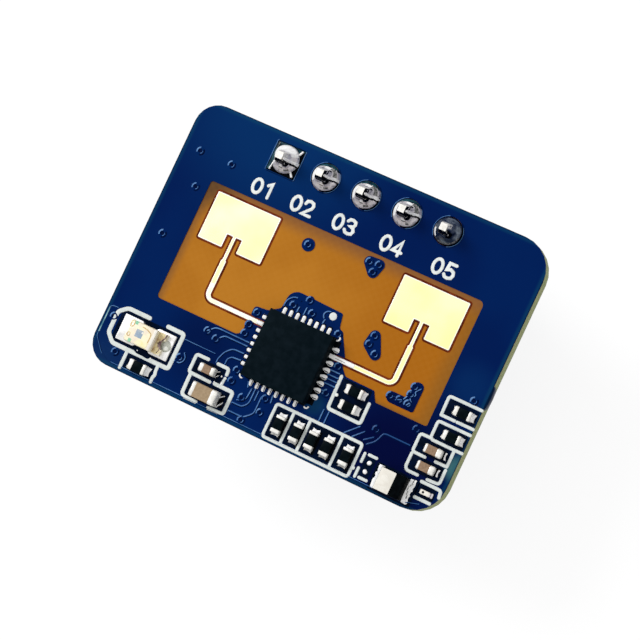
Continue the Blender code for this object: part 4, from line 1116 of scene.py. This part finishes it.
class ChipPart:
    """One chip resistor or capacitor on its lands, built along X and set on its CAD node's place."""

    def __init__(self, node, size, seed):
        self.node = node
        self.length, self.width, self.height, self.bands, self.toes = size
        self.half = self.length / 2
        self.draw = random.Random(seed)
        self.builder = bmesh.new()
        self.base = LAMINATE_TOP + 0.05
        self.top = self.base + self.height

    def body(self, inset, glaze):
        """The body between the caps, with an overglaze where the part has one."""
        near, far = self.bands
        wide = self.width / 2 - inset
        block(self.builder, (near - 0.08 - self.half, -wide, self.base + 0.01),
              (self.half - far + 0.08, wide, self.top - inset), 0.02, 0, 1)
        if glaze:
            block(self.builder, (near - 0.03 - self.half, 0.012 - wide, self.top - 0.05),
                  (self.half - far + 0.03, wide - 0.012, self.top - 0.004), 0.02, 1)

    def caps(self, cap_index, bevel):
        """The plated end caps."""
        for side, band in zip((-1, 1), self.bands):
            ends = sorted((side * (self.half - band), side * self.half))
            block(self.builder, (ends[0], -self.width / 2, self.base), (ends[1], self.width / 2, self.top),
                  min(bevel, band * 0.4), cap_index, 4)

    def fillets(self, near_index, far_index, dark_rows=0, merged=0):
        """Solder drawn up each end cap, with a waist, two small horns and painted shade next to the far cap.
        """
        for side, toe, index in ((-1, self.toes[0], near_index), (1, self.toes[1], far_index)):
            reach = toe * (1.0 + 0.12 * self.draw.random())
            climb = self.height * (0.2 + 0.1 * self.draw.random() + 0.55 * (side == merged))
            lean = self.draw.uniform(-0.12, 0.12)

            def place(t, u):
                swell = 0.045 * math.sin(math.pi * min(1, t * 0.8 + 0.2)) * (0.6 + 0.8 * u * u)
                rise = climb * (1 - t) ** 2.2 * (1 - 0.3 * u * u) + swell * self.draw.uniform(0.8, 1.2)
                horn = 0.78 + 0.22 * abs(u) ** 1.5 + lean * u
                x = side * (self.half - 0.02 + (reach + 0.02) * t * horn)
                wide = self.width / 2 * (1.0 - 0.16 * math.sin(math.pi * t) + 0.06 * t)
                return x, u * wide, LAMINATE_TOP + 0.02 + (rise * (1 - abs(u) ** 8) if t < 1 else 0.0)

            faces = sheet(self.builder, 7, [step / 6 - 1 for step in range(13)], place, index)
            # The first rows of the far fillet are painted as shade
            for k, face in enumerate(faces[:12 * dark_rows] if side > 0 else ()):
                row, column = divmod(k, 12)
                if dark_rows < 4 or (5 * row + 3 * column) % 8 > 0:
                    face.material_index = 4

    def done(self, finishes):
        """Set the part on its place, turned as its CAD node is."""
        low, high = box_of(self.node)
        upright = high.y - low.y > high.x - low.x
        turn = Matrix.Rotation(math.pi / 2 if upright else 0.0, 4, "Z")
        place = Matrix.Translation((*centre_of(self.node), 0))
        bmesh.ops.transform(self.builder, matrix=place @ turn, verts=self.builder.verts)
        new_piece(f"{self.node}_soldered", self.builder, finishes, [self.node])


class SENSORBOARD_OT_resistors(bpy.types.Operator):
    """Build the chip resistors"""

    bl_idname = "sensor_board.resistors"
    bl_label = "Chip resistors"
    bl_options = {"REGISTER", "UNDO"}

    def execute(self, context):
        finishes = ["sintered_alumina", "resistor_overglaze", "bright_solder_crest", "plated_tin"]
        for seed, node in enumerate(CHIP_RESISTORS):
            part = ChipPart(node, LAMP_RESISTOR if node == "lamp_resistor" else SMALL_RESISTOR, seed)
            part.body(0.015, True)
            part.caps(3, 0.06)
            # The far fillet is painted white as a highlight
            part.fillets(3, 2, 0, -1 if node.startswith("row") else 1)
            part.done(finishes)
        return {"FINISHED"}


class SENSORBOARD_OT_capacitors(bpy.types.Operator):
    """Build the ceramic capacitors"""

    bl_idname = "sensor_board.capacitors"
    bl_label = "Ceramic capacitors"
    bl_options = {"REGISTER", "UNDO"}

    def execute(self, context):
        for seed, (node, size, ceramic) in enumerate(CHIP_CAPACITORS):
            part = ChipPart(node, size, 40 + seed)
            part.body(0.012, False)
            part.caps(1, 0.10)
            # The far fillet is painted white as a highlight, with painted shade next to the cap
            part.fillets(2, 3, 3 if size is SMALL_CAPACITOR else 6)
            part.done([ceramic, "plated_tin", "reflowed_solder", "bright_solder_crest", "burnt_flux"])
        return {"FINISHED"}


class SENSORBOARD_OT_suppressor(bpy.types.Operator):
    """Build the tiny two-ended suppressor"""

    bl_idname = "sensor_board.suppressor"
    bl_label = "Tiny suppressor"
    bl_options = {"REGISTER", "UNDO"}

    def execute(self, context):
        low, high = box_of("tiny_suppressor")
        toe_top = LAMINATE_TOP + 0.12
        builder = bmesh.new()
        # Body, end cap and two toes, the near one burnt dark on its flat faces: left, right, inset at the
        # sides, foot, top, bevel, finish
        for left, right, inset, foot, top, bevel, index in (
            (low.x + 0.05, high.x - 0.15, 0.03, 0.04, high.z, 0.05, 0),
            (high.x - 0.24, high.x - 0.13, 0.04, 0.04, high.z - 0.01, 0.04, 1),
            (high.x - 0.13, high.x, 0.02, 0.01, toe_top, 0.035, 1),
            (low.x, low.x + 0.1, 0.03, 0.01, toe_top, 0.03, 2),
        ):
            block(builder, (left, low.y + inset, LAMINATE_TOP + foot), (right, high.y - inset, top), bevel,
                  index, 3, min(index, 1))
        dot = ((0.075, -0.01), (0.07, 0.004), (0.0, 0.005))
        turned(builder, (low.x + 0.24, (low.y + high.y) / 2), high.z, dot, 16, 2)
        new_piece("suppressor_soldered", builder, ["baked_band_ink", "reflowed_solder", "black_ink_dot"],
                  ["tiny_suppressor"])
        return {"FINISHED"}


class SENSORBOARD_OT_lamp(bpy.types.Operator):
    """Build the indicator lamp on its two wide lands"""

    bl_idname = "sensor_board.lamp"
    bl_label = "Indicator lamp"
    bl_options = {"REGISTER", "UNDO"}

    def execute(self, context):
        low, high = box_of("lamp_base")
        lens_low, lens_high = box_of("lamp_lens")
        middle = (low + high) / 2
        land_top = LAMINATE_TOP + 0.16
        inner = middle.x - 0.39
        cut = 0.14
        left = [(low.x, low.y), (inner - cut, low.y), (inner, low.y + cut), (inner, high.y - cut),
                (inner - cut, high.y), (low.x, high.y)]
        lands = bmesh.new()
        for outline in (left, [(2 * middle.x - x, y) for x, y in left]):
            plate(lands, outline, LAMINATE_TOP, land_top - LAMINATE_TOP, 0, 0.05, 0.06)
        new_piece("lamp_lands", lands, ["levelled_solder"], ["lamp_base"])

        body_low, body_high = middle.x - 1.04, middle.x + 1.24
        base_top = lens_low.z - 0.01
        body = bmesh.new()
        notch = [heading(math.pi * k / 8) for k in range(9)]
        outline = [(body_low, lens_low.y), (body_high, lens_low.y)]
        outline += [(body_high - 0.26 * way.y, middle.y - 0.26 * way.x) for way in notch]
        outline += [(body_high, lens_high.y), (body_low, lens_high.y)]
        outline += [(body_low + 0.20 * way.y, middle.y + 0.20 * way.x) for way in notch]
        plate(body, outline, LAMINATE_TOP + 0.03, base_top - LAMINATE_TOP - 0.03, 0, 0.015)
        dish = ((0.34, 0.0), (0.31, 0.03), (0.20, 0.055), (0.08, 0.03), (0.0, 0.025))
        turned(body, (middle.x + 1.29, middle.y + 0.02), land_top, dish, 24, 1)
        new_piece("lamp_body", body, ["pale_lamp_base", "plated_half_hole"])

        inside = bmesh.new()
        level = lens_high.z + 0.004
        plate(inside, placed(LAMP_PADS, middle), base_top, LAMP_FILM, 0, 0.0, 0.1)
        for width, path in LAMP_WIRES:
            path = rounded(placed(path, middle), 0.1)
            sweep(inside, path, width, base_top + LAMP_FILM, 0.03, False, CROWN, 3)
        for outline, corner, lift, height, index in LAMP_FILMS:
            plate(inside, placed(outline, middle), level + lift, height, index, 0.0, corner)
        for closed, width, path in LAMP_SEAMS:
            path = rounded(placed(path, middle), 0.08, closed)
            sweep(inside, path, width, level - 0.003, 0.006, closed, RIDGE, 6)
        finishes = ["bond_pad_gold", "lamp_crystal", "polarity_dye", "glued_bond_wire", "baked_band_ink",
                    "phosphor_lit_resin", "amber_seam"]
        new_piece("lamp_inside", inside, finishes)

        lens = bmesh.new()
        right = middle.x + 0.77
        block(lens, (lens_low.x + 0.05, lens_low.y + 0.01, lens_low.z - 0.01),
              (right, lens_high.y - 0.01, lens_high.z), 0.09, 0, 3)
        block(lens, (right - 0.22, lens_low.y + 0.02, lens_high.z - 0.06),
              (right - 0.04, lens_high.y - 0.02, lens_high.z + 0.012), 0.03, 1)
        for y in (middle.y - 0.4, middle.y + 0.4):
            block(lens, (body_low - 0.02, y - 0.19, LAMINATE_TOP + 0.1),
                  (lens_low.x + 0.16, y + 0.19, lens_low.z + 0.22), 0.09, 0, 3)
        new_piece("lamp_lens_cast", lens, ["cast_lens_resin", "baked_band_ink"], ["lamp_lens"])
        return {"FINISHED"}


class SENSORBOARD_OT_diode(bpy.types.Operator):
    """Build the clamp diode with its band and broad leads"""

    bl_idname = "sensor_board.diode"
    bl_label = "Clamp diode"
    bl_options = {"REGISTER", "UNDO"}

    def execute(self, context):
        low, high = box_of("clamp_diode")
        left, right = low.x + 0.32, high.x - 0.32
        builder = bmesh.new()
        block(builder, (left, low.y, MASK_TOP + 0.03), (right, high.y, high.z), 0.05)
        # The end walls lean in above the parting line
        for vert in builder.verts:
            if vert.co.z > high.z - 0.3:
                vert.co.x += 0.05 if vert.co.x < (left + right) / 2 else -0.05
        band = rectangle(left + 0.07, low.y + 0.03, left + 0.95, high.y - 0.03)
        plate(builder, band, high.z - 0.01, 0.014, 1, 0.004, 0.05)
        draw = random.Random(5)
        # Both leads: side, start, end, how ragged the end is, how high the solder climbs, how far it spreads
        for side, start, reach, ragged, climb, spread in (
            (-1, left, low.x - 0.03, 0.08, 0.34, 0.0), (1, right, high.x + 0.03, 0.12, 0.13, 0.04),
        ):
            def place(t, u):
                rag = ragged * draw.random()
                x = start - side * 0.02 + (reach - start + side * (0.02 - rag * t * t)) * t
                rise = climb * (1 - t) ** 1.6 + 0.05 * math.sin(math.pi * min(1, t + 0.2)) if t < 1 else 0.0
                wide = (high.y - low.y) / 2 + 0.03 + spread * t
                return x, (low.y + high.y) / 2 + u * wide, MASK_TOP + 0.004 + rise * (1 - abs(u) ** 8)

            # The leads are painted white as a highlight
            faces = sheet(builder, 6, [step / 7 - 1 for step in range(15)], place, 2)
            # A valley of painted grey shade winds along the far lead
            for column in range(3, 14) if side > 0 else ():
                row = 2 + round(1.2 * math.sin(0.75 * column - 1.0))
                faces[14 * row + column].material_index = 3
        finishes = ["moulded_epoxy_black", "baked_band_ink", "bright_solder_crest", "dull_solder_flank"]
        new_piece("clamp_diode_soldered", builder, finishes, ["clamp_diode"], 50)
        return {"FINISHED"}


class SENSORBOARD_OT_header(bpy.types.Operator):
    """Finish the header and build its pins and soldered joints"""

    bl_idname = "sensor_board.header"
    bl_label = "Header and joints"
    bl_options = {"REGISTER", "UNDO"}

    def execute(self, context):
        set_finish("header_housing", "moulded_nylon")
        for index in (1, 2):
            node = f"tinned_pad_{index}"
            middle = centre_of(node)
            blob = bmesh.new()
            # The tinned pads are painted white as a highlight
            turned(blob, middle, MASK_TOP, ((0.135, -0.03), (0.13, 0.02), (0.1, 0.05), (0.0, 0.06)), 16)
            for vert in blob.verts:
                vert.co.x += 0.25 * (vert.co.y - middle.y) * (1.5 - index)
            new_piece(f"{node}_domed", blob, ["bright_solder_crest"], [node])
        rings = bmesh.new()
        for index in range(1, 6):
            self.pin(index)
            low, high = box_of(f"solder_joint_{index}")
            centre = ((low + high) / 2).xy
            reach = (high.x - low.x) / 2
            self.joint(index, centre, reach, high.z)
            loop = [centre + (reach + 0.05) * heading(math.tau * k / 40) for k in range(40)]
            if index == 1:
                pad = [centre + Vector(p) for p in rectangle(-reach, -reach, reach, reach)]
                loop = rounded(grown(pad, 0.05), 0.08, True)
                flux = bmesh.new()
                deep = MASK_TOP - LAMINATE_TOP + 0.006
                # A black plate of painted shade shows round the pad's rim
                plate(flux, grown(pad, 0.04), LAMINATE_TOP - 0.01, deep, 0, 0.004, 0.06)
                # The upper left half of the pad is painted teal for the mask that it reflects
                plate(flux, (pad[0], pad[2], pad[3]), MASK_TOP - 0.006, 0.006, 1, 0.002, 0.06)
                new_piece("square_pad_flux", flux, ["burnt_flux", "solder_glazed_with_flux"])
            sweep(rings, loop, 0.08, MASK_TOP - 0.004, 0.03, True, RIDGE)
        # The rings are painted lit or shaded by how they face the key lamp
        painted_by_key_lamp(rings.faces, 0.6)
        new_piece("mask_pad_rings", rings, RELIEF_FINISHES[:4])
        return {"FINISHED"}

    def pin(self, index):
        """A square pin with tapered ends, painted dark as shade near its top on the sides away from the key
        lamp.
        """
        node = f"header_pin_{index}"
        low, high = box_of(node)
        middle = ((low + high) / 2).xy
        half = (high.x - low.x) / 2
        builder = bmesh.new()
        rings = []
        for reach, level in (
            (PIN_TIP, low.z), (half, low.z + 0.32), (half, high.z - PIN_SHADE_DEPTH), (0.25, high.z - 0.24),
            (PIN_TIP + 0.01, high.z - 0.015), (PIN_TIP - 0.005, high.z),
        ):
            edge = reach - 0.03
            corners = ((edge, -reach), (reach, -edge), (reach, edge), (edge, reach), (-edge, reach),
                       (-reach, edge), (-reach, -edge), (-edge, -reach))
            rings.append([builder.verts.new((x, y, level)) for x, y in placed(corners, middle)])
        for face in skin(builder, rings, True):
            face.normal_update()
            if face.calc_center_median().z > high.z - PIN_SHADE_DEPTH and abs(face.normal.z) < 0.9:
                face.material_index = int(face.normal.y < -0.6 or (face.normal.x > 0.6 and 1 < index < 5))
        builder.faces.new(rings[-1])
        builder.faces.new(rings[0][::-1])
        new_piece(f"{node}_formed", builder, ["plated_tin", "burnt_flux"], [node], 30)

    def joint(self, index, centre, pad, crest):
        """A wetted dome that climbs the pin, with a ridge on one side and horns on the square pad."""
        node = f"solder_joint_{index}"
        draw = random.Random(70 + index)
        waves = [(n, draw.uniform(0, math.tau), draw.uniform(0.006, 0.014)) for n in (2, 3, 5)]
        turn = draw.uniform(-7, 7)
        builder = bmesh.new()

        def place(share, height, angle):
            degrees = math.degrees(angle)
            square = 1 / max(abs(math.cos(angle)), abs(math.sin(angle)))
            outer = pad
            if index == 1:
                corners = 0.09 * (square - 1) * (90 < degrees < 270)
                outer = pad * (0.97 - 0.06 * math.cos(angle - math.radians(315)) + corners)
                # The solder drew back from the pad's left side
                outer -= pad * 0.2 * math.exp(-((degrees - 195) / 32) ** 2)
            neck = JOINT_NECK * min(square, 1.3)
            radius = outer + (neck - outer) * share
            swell = sum(size * math.sin(n * angle + phase) for n, phase, size in waves)
            across = self.from_ridge(degrees, radius, turn)
            ridge = 0.07 * math.exp(-(across / 9) ** 2) - 0.04 * math.exp(-((across + 18) / 9) ** 2)
            flank = math.sin(math.pi * min(1.0, share + 0.08)) if share < 0.92 else 0.0
            # The ridge climbs the pin's right side like a fin
            fin = 0.45 * max(0.0, (min(share, 1.0) - 0.4) / 0.6) ** 1.5 * math.exp(-(across / 16) ** 2)
            rise = min((crest - MASK_TOP) * height + (swell + ridge) * flank + fin, PIN_TOP_RISE)
            spot = centre + radius * heading(angle)
            return spot.x, spot.y, MASK_TOP + max(-0.02, rise)

        angles = [math.tau * k / JOINT_SIDES for k in range(JOINT_SIDES)]
        rings = [[builder.verts.new(place(*level, angle)) for angle in angles] for level in JOINT_PROFILE]
        for k, face in enumerate(skin(builder, rings, True)):
            ring, step = divmod(k, JOINT_SIDES)
            radius = (face.calc_center_median().xy - centre).length
            face.material_index = self.zone(index, ring, radius, 360 * (step + 0.5) / JOINT_SIDES, turn)
        face_out(builder, 2)
        for width, finish_index, path in PAD_HORNS if index == 1 else ():
            sweep(builder, placed(path, centre), width, MASK_TOP - 0.01, 0.10, False, CROWN, finish_index)
        finishes = ["solder_under_flux" if index == 5 else "reflowed_solder", "bright_solder_crest",
                    "burnt_flux", "solder_glazed_with_flux", "dull_solder_flank"]
        new_piece(f"{node}_wetted", builder, finishes, [node], 50)

    def from_ridge(self, angle, radius, turn):
        """How far round an angle lies from the ridge, which bends as it runs out to the rim, in degrees."""
        ridge = 2 - 50 * max(0.0, 0.6 - radius)
        return (angle - ridge - turn + 180) % 360 - 180

    def zone(self, index, ring, radius, angle, turn):
        """A joint patch's finish: 0 solder, painted 1 highlight, 2 deep shade, 3 mask reflection, 4 grey
        shade.
        """
        across = self.from_ridge(angle, radius, turn)
        thick = math.degrees((0.065 if index == 1 else 0.055) / radius)
        low = ring > 10 and 212 < angle < 345 or ring > 8 and 290 < angle < 352 - thick
        if index == 5:
            if ring < 2:
                return 1 if 170 < angle < 215 else 2
            if low:
                return 2
            return 4 if ring < 4 and 230 < angle < 350 else 1 if ring in (3, 4) and 185 < angle < 225 else 0
        if -thick < across < 1.7 * thick:
            return 1
        if low:
            return 2
        if index == 1:
            if ring < 1:
                return 3 if 45 < angle < 225 else 2
        elif ring < 2:
            return 3 if 43 < angle < 205 else 2 if angle > 265 or angle < 12 else 0
        elif ring < 6 and abs(angle - 104) < 62 - 11 * (ring - 2):
            return 3
        if -2.8 * thick < across <= -thick and ring < 11:
            return 2
        if 150 < angle < 218 and 3 <= ring < 7:
            return 1
        if 40 + turn < angle < 60 + turn and ring in (9, 10, 11) and index > 1:
            return 2
        if 262 + turn < angle < 286 + turn:
            return 1 if ring in (8, 9) else 4 if ring == 7 else 0
        if 286 < angle + turn < 313 and ring in (4, 5):
            return 4
        if index == 1:
            return 1 if 30 < angle < 175 and 2 <= ring < 10 else 0
        return 4 if 14 < angle < 70 and 4 <= ring < 8 else 1 if 70 <= angle < 110 and 5 <= ring < 9 else 0


class SENSORBOARD_OT_studio(bpy.types.Operator):
    """Set up the floor, the lamps and the camera"""

    bl_idname = "sensor_board.studio"
    bl_label = "Studio"
    bl_options = {"REGISTER", "UNDO"}

    def execute(self, context):
        scene = context.scene
        look = scene.studio_setup
        self.floor(look.floor)
        self.sky(scene, look)
        for name, place, size, setting in STUDIO_LAMPS:
            lamp = bpy.data.lights.new(name, "AREA")
            lamp.size = size
            lamp.energy = getattr(look, setting)
            item = bpy.data.objects.new(name, lamp)
            item.location = place
            item.rotation_euler = (-Vector(place)).to_track_quat("-Z", "Y").to_euler()
            scene.collection.objects.link(item)
        scene.view_settings.view_transform = "Standard"
        self.camera(scene)
        return {"FINISHED"}

    def floor(self, colour):
        """Pale paper under the pin ends."""
        builder = bmesh.new()
        bmesh.ops.create_grid(builder, x_segments=8, y_segments=8, size=600.0)
        bmesh.ops.translate(builder, vec=(0, 0, PIN_END - 0.002), verts=builder.verts)
        made, tree, shader, place = start_finish("matte_paper", colour, 0.9, 0.0, 0.1)
        tree.links.new(mottled(tree, place, 40.0, colour, linear("#F4F4F4")), shader.inputs["Base Color"])
        # Eye, mirror and glass rays see the paper as white, and it still takes the shadow
        rays = add_node(tree, "ShaderNodeLightPath")
        seen = rays.outputs["Is Camera Ray"]
        for kind in ("Is Glossy Ray", "Is Transmission Ray"):
            seen = add_node(tree, "ShaderNodeMath", {"operation": "MAXIMUM"},
                            {0: seen, 1: rays.outputs[kind]}).outputs[0]
        share = add_node(tree, "ShaderNodeMath", {"operation": "MULTIPLY"}, {0: seen, 1: 0.8})
        glow = add_node(tree, "ShaderNodeEmission", None, {"Color": (1, 1, 1, 1), "Strength": 1.06})
        both = add_node(tree, "ShaderNodeMixShader", None,
                        {0: share.outputs[0], 1: shader.outputs[0], 2: glow.outputs[0]})
        tree.links.new(both.outputs[0], tree.nodes["Material Output"].inputs["Surface"])
        new_mesh("studio_floor", builder, [made])

    def sky(self, scene, look):
        """A bright ceiling over darker walls, which give metal its contrast."""
        world = bpy.data.worlds.new("studio_sky")
        world.use_nodes = True
        scene.world = world
        tree = world.node_tree
        place = add_node(tree, "ShaderNodeTexCoord").outputs["Generated"]
        axes = add_node(tree, "ShaderNodeSeparateXYZ", None, {0: place})
        height = add_node(tree, "ShaderNodeMapRange", {"interpolation_type": "SMOOTHSTEP"},
                          {"Value": axes.outputs["Z"], "From Min": 0.5, "From Max": 0.9,
                           "To Min": look.walls, "To Max": look.ceiling})
        background = tree.nodes["Background"]
        background.inputs["Color"].default_value = (1.0, 1.0, 1.0, 1.0)
        tree.links.new(height.outputs[0], background.inputs["Strength"])

    def camera(self, scene):
        """The camera, tilted about 16 degrees from straight down."""
        data = bpy.data.cameras.new("camera")
        data.sensor_width = 36.0
        data.lens = CAMERA_LENS
        data.clip_start = 0.005
        data.clip_end = 5.0
        item = bpy.data.objects.new("camera", data)
        item.matrix_world = Matrix.Translation(CAMERA_PLACE) @ Matrix(CAMERA_AXES).transposed().to_4x4()
        scene.collection.objects.link(item)
        scene.camera = item


OPERATORS = (
    SENSORBOARD_OT_blank, SENSORBOARD_OT_edge_run, SENSORBOARD_OT_relief, SENSORBOARD_OT_legend,
    SENSORBOARD_OT_numbers, SENSORBOARD_OT_films_and_shade, SENSORBOARD_OT_chip, SENSORBOARD_OT_resistors,
    SENSORBOARD_OT_capacitors, SENSORBOARD_OT_suppressor, SENSORBOARD_OT_lamp, SENSORBOARD_OT_diode,
    SENSORBOARD_OT_header, SENSORBOARD_OT_studio,
)


class SENSORBOARD_PT_panel(bpy.types.Panel):
    """Lists the steps that dress the board"""

    bl_idname = "SENSORBOARD_PT_panel"
    bl_label = "Sensor Board"
    bl_space_type = "VIEW_3D"
    bl_region_type = "UI"
    bl_category = "Sensor Board"

    def draw(self, context):
        for name in GROUPS:
            box = self.layout.box()
            settings = getattr(context.scene, name)
            for key in type(settings).__annotations__:
                box.prop(settings, key)
        for operator in OPERATORS:
            self.layout.operator(operator.bl_idname)


GROUPS = {
    "board_finish": BoardFinish, "legend_print": LegendPrint, "solder_work": SolderWork,
    "part_finish": PartFinish, "studio_setup": StudioSetup,
}
CLASSES = (*GROUPS.values(), *OPERATORS, SENSORBOARD_PT_panel)


def register():
    for item in CLASSES:
        bpy.utils.register_class(item)
    for name, group in GROUPS.items():
        setattr(bpy.types.Scene, name, PointerProperty(type=group))


def unregister():
    for name in GROUPS:
        delattr(bpy.types.Scene, name)
    for item in reversed(CLASSES):
        bpy.utils.unregister_class(item)


def main():
    """Dress the board: register the steps and run each of them."""
    register()
    for operator in OPERATORS:
        group, name = operator.bl_idname.split(".")
        getattr(getattr(bpy.ops, group), name)()


if __name__ == "__main__":
    main()
